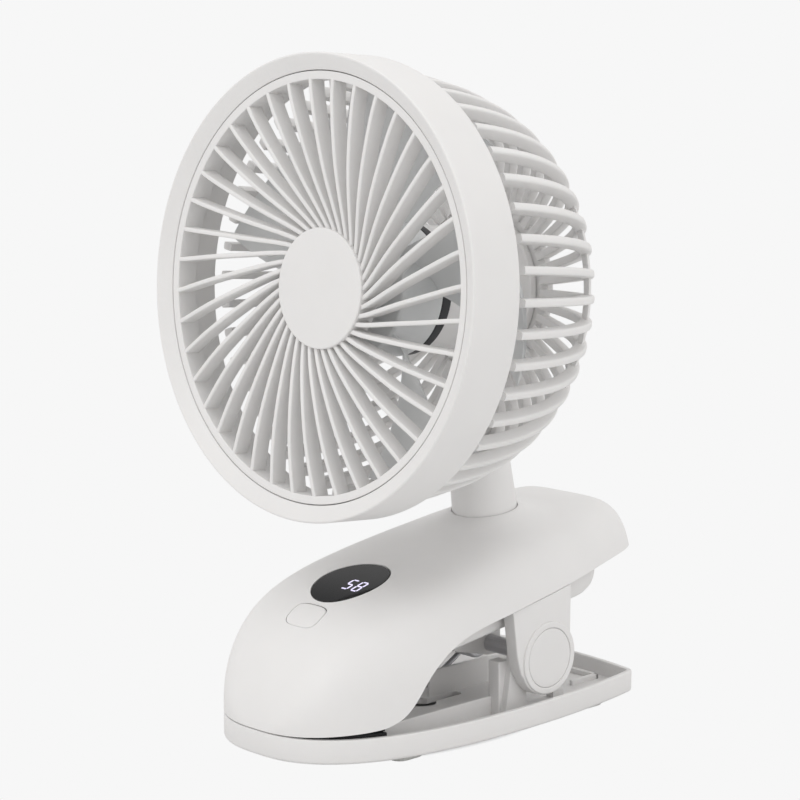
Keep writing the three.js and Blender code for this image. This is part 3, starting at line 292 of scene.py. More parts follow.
def round_corners(outline, radius, steps=5, closed=True):
    """An outline with each corner replaced by a curve that starts a radius before it: the quadratic
    B(t) = (1-t)^2 before + 2t(1-t) corner + t^2 after. radius is one number or one for each corner."""
    outline = np.asarray(outline, float)
    radius = np.broadcast_to(radius, len(outline))
    t = np.linspace(0, 1, steps + 1)[:, None]
    parts = []
    for i, corner in enumerate(outline):
        if radius[i] <= 0 or (not closed and i in (0, len(outline) - 1)):
            parts.append(corner[None])
            continue
        back = outline[i - 1] - corner
        ahead = outline[(i + 1) % len(outline)] - corner
        reach_back = min(radius[i], 0.49 * np.linalg.norm(back))
        reach_ahead = min(radius[i], 0.49 * np.linalg.norm(ahead))
        before = corner + unit(back) * reach_back
        after = corner + unit(ahead) * reach_ahead
        parts.append((1 - t) ** 2 * before + 2 * t * (1 - t) * corner + t**2 * after)
    return np.concatenate(parts)


def turned(name, profile, place, steps=192, radius=0.3):
    """A closed profile of (radius, height) turned about place's axis: P(u, v) = (r sin v, r cos v, h)."""
    profile = round_corners(profile, radius)
    angle = np.linspace(0, 2 * np.pi, steps, endpoint=False)[:, None]
    r, h = profile[:, 0][None], profile[:, 1][None]
    points = np.stack([r * np.sin(angle), r * np.cos(angle), h + 0 * angle], -1)
    piece = new_mesh(name, place(points), grid_quads(steps, len(profile), True, True))
    return fix_normals(piece)


def arc(centre, radius, start, end, steps):
    """Points of an arc, angles in degrees from the first axis to the second."""
    a = np.radians(np.linspace(start, end, steps + 1))
    return np.stack([centre[0] + radius * np.cos(a), centre[1] + radius * np.sin(a)], -1)


def inset(outline, amount):
    """A closed outline moved inward along its normals."""
    along = unit(np.roll(outline, -1, 0) - np.roll(outline, 1, 0))
    area = np.sum(outline[:, 0] * np.roll(outline[:, 1], -1) - np.roll(outline[:, 0], -1) * outline[:, 1])
    inward = np.stack([-along[:, 1], along[:, 0]], -1) * np.sign(area)
    return outline + amount * inward


def at_height(ring, height):
    return np.column_stack([ring, np.full(len(ring), height)])


def slab(name, outline, low_end, high_end, place, edge=0.4, steps=4):
    """A flat outline given thickness, its edges rounded by quarter circles: at inset e(1 - sin a) the height
    is end + e(1 - cos a). place carries (u, v, height) to the part's frame."""
    a = np.linspace(0, np.pi / 2, steps + 1)
    insets = edge * np.concatenate([1 - np.sin(a), (1 - np.sin(a))[::-1]])
    rises = np.concatenate([low_end + edge * (1 - np.cos(a)), (high_end - edge * (1 - np.cos(a)))[::-1]])
    outline = np.asarray(outline, float)
    rings = [place(at_height(inset(outline, i), h)) for i, h in zip(insets, rises)]
    return closed_loft(name, rings)


def across(points):
    """(u, v, height) with u along Y, v up and height along X."""
    return np.asarray(points)[:, [2, 0, 1]]


def upright(points):
    return np.asarray(points)


def joined(name, *pieces):
    """Several pieces as one object."""
    work = bmesh.new()
    for piece in pieces:
        work.from_mesh(piece.data)
    mesh = bpy.data.meshes.new(name)
    work.to_mesh(mesh)
    work.free()
    for piece in pieces:
        bpy.data.objects.remove(piece)
    shade(mesh)
    whole = bpy.data.objects.new(name, mesh)
    bpy.context.scene.collection.objects.link(whole)
    return whole


def combined(piece, other, operation="DIFFERENCE"):
    """The piece cut by, or cut down to, another, which is used up."""
    modifier = piece.modifiers.new("cut", "BOOLEAN")
    modifier.operation = operation
    modifier.solver = "EXACT"
    modifier.object = other
    bpy.context.view_layer.update()
    evaluated = piece.evaluated_get(bpy.context.evaluated_depsgraph_get())
    mesh = bpy.data.meshes.new_from_object(evaluated)
    piece.modifiers.clear()
    piece.data = mesh
    bpy.data.objects.remove(other)
    shade(mesh)
    return piece


# ---------------------------------------------------------------- base plate


def plate_half(y):
    """Half width of the plate: h (1 - a^n)^(1/n) in front of its widest point, a drawn in parabola behind."""
    a = np.clip((PLATE_WIDEST - y) / (PLATE_WIDEST - PLATE_NOSE), 0, 1)
    nose = PLATE_HALF * (1 - a**PLATE_NOSE_POWER) ** (1 / PLATE_NOSE_POWER)
    return np.where(y < PLATE_WIDEST, nose, PLATE_HALF - PLATE_TAPER * (y - PLATE_WIDEST) ** 2)


def plate_outline():
    """The plate's plan, from the nose round the right side to the rear and back."""
    a = np.linspace(np.pi / 2, 0, 48)
    power = 2 / PLATE_NOSE_POWER
    nose = np.stack([PLATE_HALF * np.cos(a) ** power,
                     PLATE_WIDEST - (PLATE_WIDEST - PLATE_NOSE) * np.sin(a) ** power], -1)
    nose[0, 0] = 0
    y = np.linspace(PLATE_WIDEST + 3, PLATE_REAR - 6.6, 20)
    side = np.stack([plate_half(y), y], -1)
    corner_x = float(plate_half(PLATE_REAR - 3.8))
    corner = np.array([side[-1], [corner_x, PLATE_REAR - corner_x**2 / PLATE_BOW], [corner_x - 3, 0]])
    corner[2, 1] = PLATE_REAR - corner[2, 0] ** 2 / PLATE_BOW
    t = np.linspace(0, 1, 9)[1:, None]
    bend = (1 - t) ** 2 * corner[0] + 2 * t * (1 - t) * corner[1] + t**2 * corner[2]
    x = np.linspace(corner[2, 0], 0, 12)[1:]
    rear = np.stack([x, PLATE_REAR - x**2 / PLATE_BOW], -1)
    right = np.concatenate([nose, side, bend, rear])
    left = right[1:-1][::-1] * [-1, 1]
    return np.concatenate([right, left])


def rim_top(y):
    return RIM_NOSE + (RIM_REAR - RIM_NOSE) * (y - PLATE_NOSE) / (PLATE_REAR - PLATE_NOSE)


def make_dish():
    """The plate as a shallow dish: its outline carried through rounded bottom edge, side, rim and floor."""
    outline = plate_outline()
    a = np.linspace(0, np.pi / 2, 6)
    bottom = [(1.2 * (1 - math.sin(t)), PLATE_BOTTOM + 1.2 * (1 - math.cos(t))) for t in a]
    rim_out = [(0.45 * (1 - math.cos(t)), -0.45 * (1 - math.sin(t))) for t in a]
    rim_in = [(RIM_WALL - 0.45 * (1 - math.sin(t)), -0.45 * (1 - math.cos(t))) for t in a]
    rings = [at_height(inset(outline, i), z) for i, z in bottom]
    for i, drop in rim_out + rim_in:
        ring = inset(outline, i)
        rings.append(np.column_stack([ring, rim_top(ring[:, 1]) + drop]))
    for i, rise in [(0, 0.8), (0.25, 0.25), (0.8, 0)]:
        rings.append(at_height(inset(outline, RIM_WALL + i), PLATE_FLOOR + rise))
    return closed_loft("dish", rings)


def make_ear(side):
    """A pivot wall: a plate with a round head about the axle and an arch over the floor."""
    inner, outer = EAR_INNER * side, EAR_OUTER * side
    front = PIVOT[1] - 15.6
    outline = np.concatenate([
        [(PIVOT[1] + 14.1, PLATE_FLOOR - 0.5)],
        arc(PIVOT[1:], EAR_RADIUS, -25, 175, 48),
        [(front, PLATE_FLOOR - 0.5)],
    ])
    ear = slab("ear", outline, min(inner, outer), max(inner, outer), across, edge=0.35)
    window = np.array([(front + 10.4, 6.0), (front + 23.7, 6.0), (front + 23.7, 10.7), (front + 10.4, 10.7)])
    cutter = slab("cutter", window, min(inner, outer) - 2, max(inner, outer) + 2, across, edge=0.01)
    return combined(ear, cutter)


def rib(x0, x1, y0, y1, top):
    x0, x1 = min(x0, x1), max(x0, x1)
    outline = [(x0, y0), (x1, y0), (x1, y1), (x0, y1)]
    return slab("rib", round_corners(outline, 0.5, 3), PLATE_FLOOR - 0.6, top, upright, edge=0.3)


def make_base():
    """The base plate with its keyhole, pivot walls and stiffening ribs."""
    dish = make_dish()
    centre = (0, PLATE_NOSE + 75.8)
    hole = np.concatenate([arc(centre, 5, 25, 155, 20), arc(centre, 5, 155, 385, 30)])
    keyhole = slab("keyhole", hole[:-1], -1, 9, upright, edge=0.01)
    slot = round_corners([(-2.2, PLATE_NOSE + 77), (2.2, PLATE_NOSE + 77),
                          (2.2, PLATE_NOSE + 93.8), (-2.2, PLATE_NOSE + 93.8)], [0, 0, 2, 2])
    dish = combined(dish, keyhole)
    dish = combined(dish, slab("slot", slot, -1, 9, upright, edge=0.01))
    top = PLATE_FLOOR
    y = PLATE_NOSE
    ribs = [rib(-22, 22, y + 139.8, y + 141.4, top + 1.8), rib(-34, 34, y + 31.4, y + 33, top + 2.4)]
    for side in (1, -1):
        ribs.append(rib(20.4 * side, 22 * side, y + 127.8, y + 141.4, top + 1.8))
        ribs.append(rib(POST_INNER * side, (POST_INNER + 1.6) * side, y + 31.4, y + 84.1, RIM_NOSE))
        ribs.append(rib(POST_INNER * side, (EAR_INNER + 0.6) * side, y + 82.7, y + 87.7, POST_TOP))
    ribs.append(rib(*GUIDE, y + 81.8, y + 110.8, 13.2))
    whole = joined("base_plate_shell", dish, make_ear(1), make_ear(-1), *ribs)
    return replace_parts(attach(whole, "base"), "base_plate")


# ---------------------------------------------------------------- shell of the upper jaw


def crown(y):
    """Crown line: foot + (rise curve) (1 - nose^n)^(1/k) (1 - tail^m)^(1/m)."""
    s = (y - PLATE_NOSE) / (PLATE_REAR - PLATE_NOSE)
    height = CROWN[0] + CROWN[1] * s + CROWN[2] * s * s - DOME_FOOT
    nose = np.clip((NOSE_BLEND - y) / (NOSE_BLEND - PLATE_NOSE), 0, 1)
    tail = np.clip((y - TAIL_BLEND) / (TAIL_Y - TAIL_BLEND), 0, 1)
    height = height * (1 - nose ** NOSE_POWERS[0]) ** (1 / NOSE_POWERS[1])
    return DOME_FOOT + height * (1 - tail ** TAIL_POWERS[1]) ** (1 / TAIL_POWERS[1])


def shell_half(y):
    tail = np.clip((y - TAIL_BLEND) / (TAIL_Y - TAIL_BLEND), 0, 1)
    straight = plate_half(y) - SIDE_DRAFT * np.clip((y - PLATE_NOSE - 53.8) / 40, 0, 1)
    return straight * (1 - tail ** TAIL_POWERS[0]) ** (1 / TAIL_POWERS[0])


def edge_height(y):
    """Height of the shell's lower edge: a monotone cubic through the edge points."""
    x, z = SHELL_EDGE[:, 0], SHELL_EDGE[:, 1]
    slope = np.diff(z) / np.diff(x)
    middle = 2 * slope[1:] * slope[:-1] / (slope[1:] + slope[:-1])
    tangent = np.concatenate([[slope[0]], middle, [slope[-1]]])
    i = np.clip(np.searchsorted(x, y) - 1, 0, len(x) - 2)
    step = x[i + 1] - x[i]
    t = (y - x[i]) / step
    return ((1 + 2 * t) * (1 - t) ** 2 * z[i] + t * (1 - t) ** 2 * step * tangent[i]
            + t * t * (3 - 2 * t) * z[i + 1] + t * t * (t - 1) * step * tangent[i + 1])


def collar_rise(x, y):
    """How far the shell is drawn up round the neck: rise (1 - s)^2, s from the neck's skin to the reach."""
    distance = np.hypot(x, (y - NECK[1]) * NECK_UP[2])
    share = np.clip((distance - NECK_RADIUS - 0.6) / COLLAR_REACH, 0, 1)
    return COLLAR_RISE * (1 - share) ** 2.2


def dome_height(x, y):
    """Height of the dome over a point: foot + (crown - foot) (1 - (|x| / half)^q)^(1/p), and the collar."""
    p, q = DOME_POWERS
    side = np.clip(np.abs(x) / np.maximum(shell_half(y), 1e-3), 0, 1)
    return DOME_FOOT + (crown(y) - DOME_FOOT) * (1 - side**q) ** (1 / p) + collar_rise(x, y)


def shell_ends():
    """Where the crown line meets the lower edge, at nose and tail, by bisection."""
    ends = []
    for outside, inside in ((PLATE_NOSE, PLATE_NOSE + 20), (TAIL_Y, TAIL_Y - 20)):
        for _ in range(40):
            middle = (outside + inside) / 2
            if crown(np.array(middle)) > edge_height(np.array(middle)):
                inside = middle
            else:
                outside = middle
        ends.append(inside)
    return ends[0], min(ends[1], high("upper_shell")[1])


def make_shell():
    """The dome over its lower edge: section by section, x = half cos-like(th), z = foot + rise sin(th)."""
    nose, tail = shell_ends()
    rows, columns = 340, 241
    y = nose + (tail - nose) * (1 - np.cos(np.linspace(0, np.pi, rows))) / 2
    p, q = DOME_POWERS
    rise = crown(y) - DOME_FOOT
    start = np.arcsin(np.clip((edge_height(y) - DOME_FOOT) / np.maximum(rise, 1e-6), 0, 1))
    turn = start[:, None] + (np.pi - 2 * start[:, None]) * np.linspace(1, 0, columns)[None]
    up = np.sin(turn)
    out = (1 - up**p) ** (1 / q) * np.sign(np.cos(turn))
    x = shell_half(y)[:, None] * out
    z = DOME_FOOT + rise[:, None] * up + collar_rise(x, y[:, None])
    points = np.stack([x, np.broadcast_to(y[:, None], x.shape), z], -1)
    piece = new_mesh("upper_shell_skin", points, grid_quads(rows, columns), smooth=60)
    thick = piece.modifiers.new("wall", "SOLIDIFY")
    thick.thickness = SHELL_WALL * MM
    thick.offset = -1
    bpy.context.view_layer.update()
    evaluated = piece.evaluated_get(bpy.context.evaluated_depsgraph_get())
    piece.data = bpy.data.meshes.new_from_object(evaluated)
    piece.modifiers.clear()
    window = crown_slab("window_hole", ellipse(DISPLAY_HALF, 2, SEAM), DISPLAY_Y, -7, 5)
    piece = combined(piece, window)
    hole = crown_slab("button_hole", ellipse(BUTTON_HALF, BUTTON_POWER, SEAM), BUTTON_Y, -6, 4)
    piece = combined(piece, hole)
    bore = slab("bore", arc((0, 0), NECK_RADIUS + 0.35, 0, 360, 96)[:-1], -14, 8, in_neck, edge=0.01)
    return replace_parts(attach(combined(piece, bore), "upper_jaw"), "upper_shell")


def ellipse(half, power, grow=0.0, steps=96):
    """A superellipse outline: (a sgn(c)|c|^(2/n), b sgn(s)|s|^(2/n))."""
    t = np.linspace(0, 2 * np.pi, steps, endpoint=False)
    c, s = np.cos(t), np.sin(t)
    bend = 2 / power
    return np.stack([(half[0] + grow) * np.sign(c) * np.abs(c) ** bend,
                     (half[1] + grow) * np.sign(s) * np.abs(s) ** bend], -1)


def crown_frame(y):
    """Rows X, along and out of the shell's surface on the crown line."""
    slope = math.atan2(float(crown(np.array(y + 0.5)) - crown(np.array(y - 0.5))), 1)
    c, s = math.cos(slope), math.sin(slope)
    return np.array([[1, 0, 0], [0, c, s], [0, -s, c]])


def crown_slab(name, outline, y, low_end, high_end):
    origin = np.array([0, y, float(crown(np.array(y)))])
    axes = crown_frame(y)
    return slab(name, outline, low_end, high_end, lambda p: origin + np.asarray(p) @ axes, edge=0.01)


def flush_cap(name, half, power, y, lift, edge, depth):
    """A cap that follows the dome: rings of an outline at shares r of its size, each point dropped onto the
    dome and lifted, with a rounded rim of radius edge and a skirt down to depth."""
    axes = crown_frame(y)
    outline = ellipse(half, power)
    share = np.sin(np.linspace(0, np.pi / 2, 28))[1:]
    a = np.linspace(0, np.pi / 2, 6)
    size = np.mean(half)
    rings = []
    for r in share * (1 - edge / size):
        rings.append((outline * r, lift))
    for t in a[1:]:
        rings.append((outline * (1 - edge / size * (1 - math.sin(t))), lift - edge * (1 - math.cos(t))))
    rings.append((outline, lift - depth))
    points = []
    for ring, rise in rings:
        flat = ring[:, :1] * axes[0] + ring[:, 1:] * axes[1] + [0, y, 0]
        on_dome = np.column_stack([flat[:, 0], flat[:, 1], dome_height(flat[:, 0], flat[:, 1])])
        points.append(on_dome + rise * axes[2])
    return closed_loft(name, points)


def make_display():
    piece = flush_cap("display_glass", DISPLAY_HALF, 2, DISPLAY_Y, -0.06, 0.25, 1.8)
    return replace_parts(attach(piece, "upper_jaw"), "display_window")


def make_button():
    piece = flush_cap("power_button_cap", BUTTON_HALF, BUTTON_POWER, BUTTON_Y, 0.3, 0.5, 2.2)
    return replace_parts(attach(piece, "button"), "power_button")


SEGMENTS = {  # strokes of a seven segment digit: start and end in half widths and half heights
    "a": ((-1, 1), (1, 1)), "b": ((1, 1), (1, 0)), "c": ((1, 0), (1, -1)), "d": ((-1, -1), (1, -1)),
    "e": ((-1, -1), (-1, 0)), "f": ((-1, 0), (-1, 1)), "g": ((-1, 0), (1, 0)),
}
DIGITS = {5: "afgcd", 8: "abcdefg"}
DIGIT_HALF = (1.25, 3.0)
DIGIT_STROKE = 0.34
DIGIT_PLACES = ((5, 1.9, -1.9), (8, 6.4, -1.9))


def make_digits():
    """Lit strokes on the window: each a long hexagon laid on the dome just above the glass."""
    axes = crown_frame(DISPLAY_Y)
    pieces = []
    for digit, x, along in DIGIT_PLACES:
        for name in DIGITS[digit]:
            ends = np.array(SEGMENTS[name]) * DIGIT_HALF + [x, along]
            direction = unit(ends[1] - ends[0])
            side = np.array([-direction[1], direction[0]]) * DIGIT_STROKE
            start = ends[0] + direction * 0.35
            end = ends[1] - direction * 0.35
            tip = direction * DIGIT_STROKE
            near, far = start - tip * 0.6, end + tip * 0.6
            flat = np.array([near, start + side, end + side, far, end - side, start - side])
            place = flat[:, :1] * axes[0] + flat[:, 1:] * axes[1] + [0, DISPLAY_Y, 0]
            on_dome = np.column_stack([place[:, 0], place[:, 1], dome_height(place[:, 0], place[:, 1])])
            points = np.concatenate([on_dome - 0.05 * axes[2], on_dome - 0.02 * axes[2]])
            quads = [(i, (i + 1) % 6, 6 + (i + 1) % 6, 6 + i) for i in range(6)]
            pieces.append(fix_normals(new_mesh("stroke", points, quads, [range(6), range(6, 12)])))
    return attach(joined("display_digits", *pieces), "upper_jaw")


# ---------------------------------------------------------------- jaw housing

HOUSING_UNDER = np.array([
    (-70.1, 12.9), (-50.6, 12.9), (-48.6, 16.5), (-45.1, 22.5), (-40.1, 27.3), (-32.1, 29.3), (-16.9, 30.5),
    (6.7, 33.6), (42.0, 38.0), (46.5, 38.6), (50.2, 40.5), (54.7, 43.9), (57.4, 48.2),
])
TRAY_CLEAR = 2.4  # the shell's wall and a little air
ARM_INNER = 32.4
ARM_OUTER = 37.3
ARM_RADIUS = 12.9
BOSS = 0.7  # the ring round a cap stands proud of the arm by this
SPRING_WIRE = 0.9
SPRING_RADIUS = 5.6
SPRING_TURNS = 4
SPRING_HALF = 4.8


def inside_half(y, z):
    """Half width of the dome's inside at a height: the dome's own section, its wall and a gap taken off."""
    p, q = DOME_POWERS
    rise = np.maximum(crown(y) - TRAY_CLEAR - DOME_FOOT, 1)
    up = np.clip((z - DOME_FOOT) / rise, 0, 0.999)
    return (shell_half(y) - TRAY_CLEAR) * (1 - up**p) ** (1 / q)


def make_tray():
    """The cover under the jaw: a U section, rounded at its corners, carried along the underside line. Each
    section is as wide as the dome allows; near both ends its hollow closes up, which makes the end walls."""
    line = round_corners(HOUSING_UNDER, 2.5, 6, closed=False)
    ends = 1.6
    y = np.concatenate([[line[0, 0] + ends, line[-1, 0] - ends], line[:, 0]])
    z = np.interp(y, line[:, 0], line[:, 1])
    order = np.argsort(y)
    y, z = y[order], z[order]
    top = np.minimum(z + 11.5, crown(y) - TRAY_CLEAR - 1.5)
    half = np.minimum(30, inside_half(y, top))
    solid = (y < line[0, 0] + ends + 0.01) | (y > line[-1, 0] - ends - 0.01)
    floor = np.where(solid, top - 0.05, z + 2.4)
    sections = []
    for i in range(len(y)):
        w, wall = half[i], np.where(solid[i], half[i] - 0.3, half[i] - 2)
        corners = [(-w, top[i]), (-w, z[i]), (w, z[i]), (w, top[i]),
                   (wall, top[i]), (wall, floor[i]), (-wall, floor[i]), (-wall, top[i])]
        section = round_corners(corners, [0.4, 2, 2, 0.4, 0.1, 0.02, 0.02, 0.1], 4)
        sections.append(np.column_stack([section[:, 0], np.full(len(section), y[i]), section[:, 1]]))
    return closed_loft("tray", sections)


def on_boss(side):
    """Carries (u, v, height) to the ring round the pivot, heights outward from its face."""
    face = np.array([(ARM_OUTER + BOSS) * side, PIVOT[1], PIVOT[2]])
    return lambda p: face + np.stack([p[..., 2] * side, p[..., 0], p[..., 1]], -1)


def make_arm(side):
    """A hinge arm with a round end and the raised ring round its cap."""
    y, z = PIVOT[1], PIVOT[2]
    outline = np.concatenate([
        [(y + 10.9, 45.9), (y - 17.3, 41.2), (y - 15.2, 26), (y - 13.3, 19.2)],
        arc((y, z), ARM_RADIUS, 205, 330, 40), [(y + 10.9, 30)],
    ])
    inner, outer = ARM_INNER * side, ARM_OUTER * side
    arm = slab("arm", outline, min(inner, outer), max(inner, outer), across, edge=0.5)
    ring = [(10.25, 0), (12.3, 0), (12.5, -1.2), (10.25, -1.2)]
    return joined("arm", arm, turned("ring", ring, on_boss(side), steps=120, radius=0.35))


def make_bridge(side):
    """The shoulder that joins an arm to the tray, inside the shell."""
    outline = round_corners([(9.9, 36.4), (29.9, 38.2), (29.9, 44), (9.9, 42)], 1)
    inner, outer = 28.5 * side, 33.4 * side
    return slab("bridge", outline, min(inner, outer), max(inner, outer), across, edge=0.4)


def make_spring_wall(side):
    """A wall that hangs from the tray beside the spring, its lower edge falling towards the axle."""
    outline = [(3.9, 22.8), (21.3, 18.3), (26.9, 18.3), (26.9, 37), (3.9, 34)]
    inner, outer = 8.4 * side, 10 * side
    return slab("spring_wall", round_corners(outline, [0.6, 0.6, 0.6, 0, 0]), min(inner, outer),
                max(inner, outer), across, edge=0.3)


def make_housing():
    sides = [make(side) for make in (make_arm, make_bridge, make_spring_wall) for side in (1, -1)]
    whole = joined("jaw_housing_shell", make_tray(), *sides)
    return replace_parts(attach(whole, "upper_jaw"), "jaw_housing")


def make_spring():
    """The clip's spring: a helix (x, R cos a, R sin a) round the axle between two straight legs, carried by a
    round wire. The coil turns little by little from one jaw's body to the other's."""
    a = np.linspace(math.radians(-65), math.radians(85) + SPRING_TURNS * 2 * np.pi, 240)
    x = np.linspace(-SPRING_HALF, SPRING_HALF, len(a))
    coil = np.stack([x, PIVOT[1] + SPRING_RADIUS * np.cos(a), PIVOT[2] + SPRING_RADIUS * np.sin(a)], -1)
    foot_z = PLATE_FLOOR + GAP + SPRING_WIRE
    end_y = PIVOT[1] - 20
    top_z = float(np.interp(end_y, HOUSING_UNDER[:, 0], HOUSING_UNDER[:, 1])) - GAP - SPRING_WIRE
    start = [(-SPRING_HALF, PIVOT[1] - 22, foot_z), (-SPRING_HALF, PIVOT[1] - 10, foot_z + 5.5)]
    end = [(SPRING_HALF, PIVOT[1] - 11, PIVOT[2] + 6.6), (SPRING_HALF, end_y, top_z)]
    path = np.concatenate([start, coil, end])
    path = round_corners(path, [0, 3] + [0] * len(coil) + [3, 0], 8, closed=False)
    along = unit(np.gradient(path, axis=0))
    side = unit(np.array([1.0, 0, 0]) - along[:, :1] * along)
    over = np.cross(along, side)
    t = np.linspace(0, 2 * np.pi, 20, endpoint=False)[None, :, None]
    wire = path[:, None] + SPRING_WIRE * (np.cos(t) * side[:, None] + np.sin(t) * over[:, None])
    piece = closed_loft("torsion_spring_wire", wire)
    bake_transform(piece)
    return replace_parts(piece, "torsion_spring")


def make_caps():
    """The round plugs over the axle's ends, faintly crowned."""
    made = []
    for side, node in ((1, "pivot_cap_right"), (-1, "pivot_cap_left")):
        profile = [(0.01, 0.02), (9.0, 0.0), (10.1, -0.12), (10.1, -1.8), (0.01, -1.8)]
        piece = turned(node + "_disc", profile, on_boss(side), steps=120, radius=[0, 0.6, 0.3, 0.3, 0])
        made.append(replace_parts(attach(piece, "upper_jaw"), node))
    return made


# ---------------------------------------------------------------- neck


def make_neck():
    """Column from the seam to the fork, hollow slot between two round cheeks about the tilt screw."""
    tilt = float((TILT - NECK) @ NECK_UP)
    profile = [(0.01, -9), (11.2, -9), (11.2, 2), (10.5, tilt - 6), (10.5, tilt + 12), (0.01, tilt + 12)]
    column = turned("column", profile, in_neck, steps=128, radius=[0, 0.3, 3, 3, 0, 0])
    cheek = np.concatenate([[(10, tilt - 8)], arc((0, tilt), 10, 0, 180, 60), [(-10, tilt - 8)],
                            [(-20, tilt - 8.2), (-20, -20), (20, -20), (20, tilt - 8.2)]])
    side_place = lambda p: in_neck(np.asarray(p)[:, [2, 0, 1]])
    column = combined(column, slab("cheeks", cheek, -14, 14, side_place, edge=0.01), "INTERSECT")
    slot = [(-20, tilt - 9.6), (20, tilt - 9.6), (20, tilt + 20), (-20, tilt + 20)]
    column = combined(column, slab("slot", slot, -5, 5, side_place, edge=0.01))
    for side in (1, -1):
        seat = slab("seat", arc((0, tilt), 4.5, 0, 360, 48)[:-1], min(8.1 * side, 14 * side),
                    max(8.1 * side, 14 * side), side_place, edge=0.01)
        column = combined(column, seat)
    column.name = "neck_column"
    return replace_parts(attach(column, "neck"), "neck")


# ---------------------------------------------------------------- fan head


def make_ring():
    """The bezel: a deep band with a conical lip round the grille."""
    profile = [(RING_R - 0.5, 0.0), (LIP_R, LIP_DEPTH), (LIP_R, LIP_DEPTH + 2), (RING_INNER, LIP_DEPTH + 2.6),
               (RING_INNER, RING_DEPTH), (RING_R, RING_DEPTH), (RING_R, 0.55)]
    piece = turned("front_ring_band", profile, in_head, steps=360,
                   radius=[0.6, 0.3, 0.3, 0.3, 0.3, 0.35, 0.6])
    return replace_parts(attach(piece, "head"), "front_ring")


def swept(name, centre, side, deep, size, corner, copies, phase, place):
    """A rounded bar along a path, repeated about the axis. The bar's section is a rounded rectangle of width
    size[0] along side and height size[1] along deep, from the path down."""
    width, height = size
    section = round_corners([(-width / 2, 0), (width / 2, 0), (width / 2, height), (-width / 2, height)],
                            corner, 4)
    bar = (centre[:, None] + section[None, :, :1] * side[:, None] + section[None, :, 1:] * deep[:, None])
    rows, columns = bar.shape[:2]
    angle = phase + np.arange(copies) * 2 * np.pi / copies
    c, s = np.cos(angle)[:, None, None], np.sin(angle)[:, None, None]
    x, up, depth = bar[None, ..., 0], bar[None, ..., 1], bar[None, ..., 2]
    points = np.stack([x * c + up * s, -x * s + up * c, depth + 0 * c], -1)
    quads = grid_quads(rows, columns, False, True)
    stride = rows * columns
    quads = np.concatenate([quads + i * stride for i in range(copies)])
    caps = []
    for i in range(copies):
        caps += end_caps(rows, columns, i * stride)
    return fix_normals(new_mesh(name, place(points), quads, caps))


def make_vanes():
    """Slats from rim to hub: radius 67.2 - 48.5 t, angle a(t) a quartic, front edge depth a parabola."""
    t = np.linspace(0, 1, 40)
    outer, inner = GRILLE_R + 0.8, HUB_R - 0.8
    radius = outer + (inner - outer) * t
    angle = 0.0899 * t + 0.4369 * t**2 - 0.7285 * t**3 + 0.706 * t**4
    front = 2.91 - 5.49 * t + 9.72 * t * t
    centre = np.stack([radius * np.sin(angle), radius * np.cos(angle), front], -1)
    flat = centre * [1, 1, 0]
    along = unit(np.gradient(flat, axis=0))
    side = np.stack([along[:, 1], -along[:, 0], 0 * t], -1)
    deep = np.broadcast_to([0.0, 0.0, 1.0], centre.shape)
    return swept("vanes", centre, side, deep, VANE_SIZE, 0.55, VANES, VANE_PHASE, in_head)


def make_grille():
    """Spiral grille: slats between a collar and the hub cap."""
    outer = LIP_R - 0.3
    collar = turned("collar", [
        (GRILLE_R, LIP_DEPTH + 0.25), (GRILLE_R, GRILLE_DEPTH),
        (outer, GRILLE_DEPTH), (outer, LIP_DEPTH + 0.05),
    ], in_head, steps=320, radius=0.3)
    hub = turned("hub", [
        (0.01, HUB_DEPTH), (HUB_R, HUB_DEPTH), (HUB_R, HUB_REAR), (HUB_R - HUB_WALL, HUB_REAR),
        (HUB_R - HUB_WALL, HUB_DEPTH + HUB_WALL), (0.01, HUB_DEPTH + HUB_WALL),
    ], in_head, steps=160, radius=[0, 0.5, 0.3, 0.3, 0.5, 0])
    flange = turned("flange", [
        (outer - 0.5, 5.6), (RING_INNER - 0.4, 5.8), (RING_INNER - 0.4, 7.4), (outer - 0.5, 7.4),
    ], in_head, steps=160)
    whole = joined("front_grille_slats", collar, hub, flange, make_vanes())
    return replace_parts(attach(whole, "head"), "front_grille")


def cage_radius(depth):
    t = np.clip((depth - CAGE_START) / CAGE_DEPTH, 0, 1)
    return CAGE_R * (1 - t ** CAGE_POWERS[0]) ** (1 / CAGE_POWERS[1])


def make_ribs(copies=RIBS, phase=RIB_PHASE):
    """Ribs along the cage's envelope: t = sin(f)^(2/1.88), radius = R cos(f)^(2/5.87)."""
    end = math.acos(((DISC_R - 2) / CAGE_R) ** (CAGE_POWERS[1] / 2))
    f = np.concatenate([np.linspace(0.12, 1.25, 34), 1.25 + (end - 1.25) * np.linspace(0, 1, 26)[1:]])
    depth = CAGE_START + CAGE_DEPTH * np.sin(f) ** (2 / CAGE_POWERS[0])
    radius = CAGE_R * np.cos(f) ** (2 / CAGE_POWERS[1])
    centre = np.stack([0 * f, radius, depth], -1)
    along = unit(np.gradient(centre, axis=0))
    deep = np.stack([0 * f, -along[:, 2], along[:, 1]], -1)
    side = np.broadcast_to([1.0, 0.0, 0.0], centre.shape)
    return swept("ribs", centre, side, deep, RIB_SIZE, [0.9, 0.9, 0.5, 0.5], copies, phase, in_head)


def hinge_bar(name, outline, half):
    """A bar along X in the fan head: outline of (height above the tilt axis, depth behind it)."""
    at = head_frame() @ (TILT - HEAD)
    place = lambda p: in_head(np.asarray(p)[:, [2, 0, 1]] + [0, at[1], -at[2]])
    return slab(name, outline, -half, half, place, edge=0.25)


def hinge_drum(name, radius, half):
    return hinge_bar(name, arc((0, 0), radius, 0, 360, 96)[:-1], half)


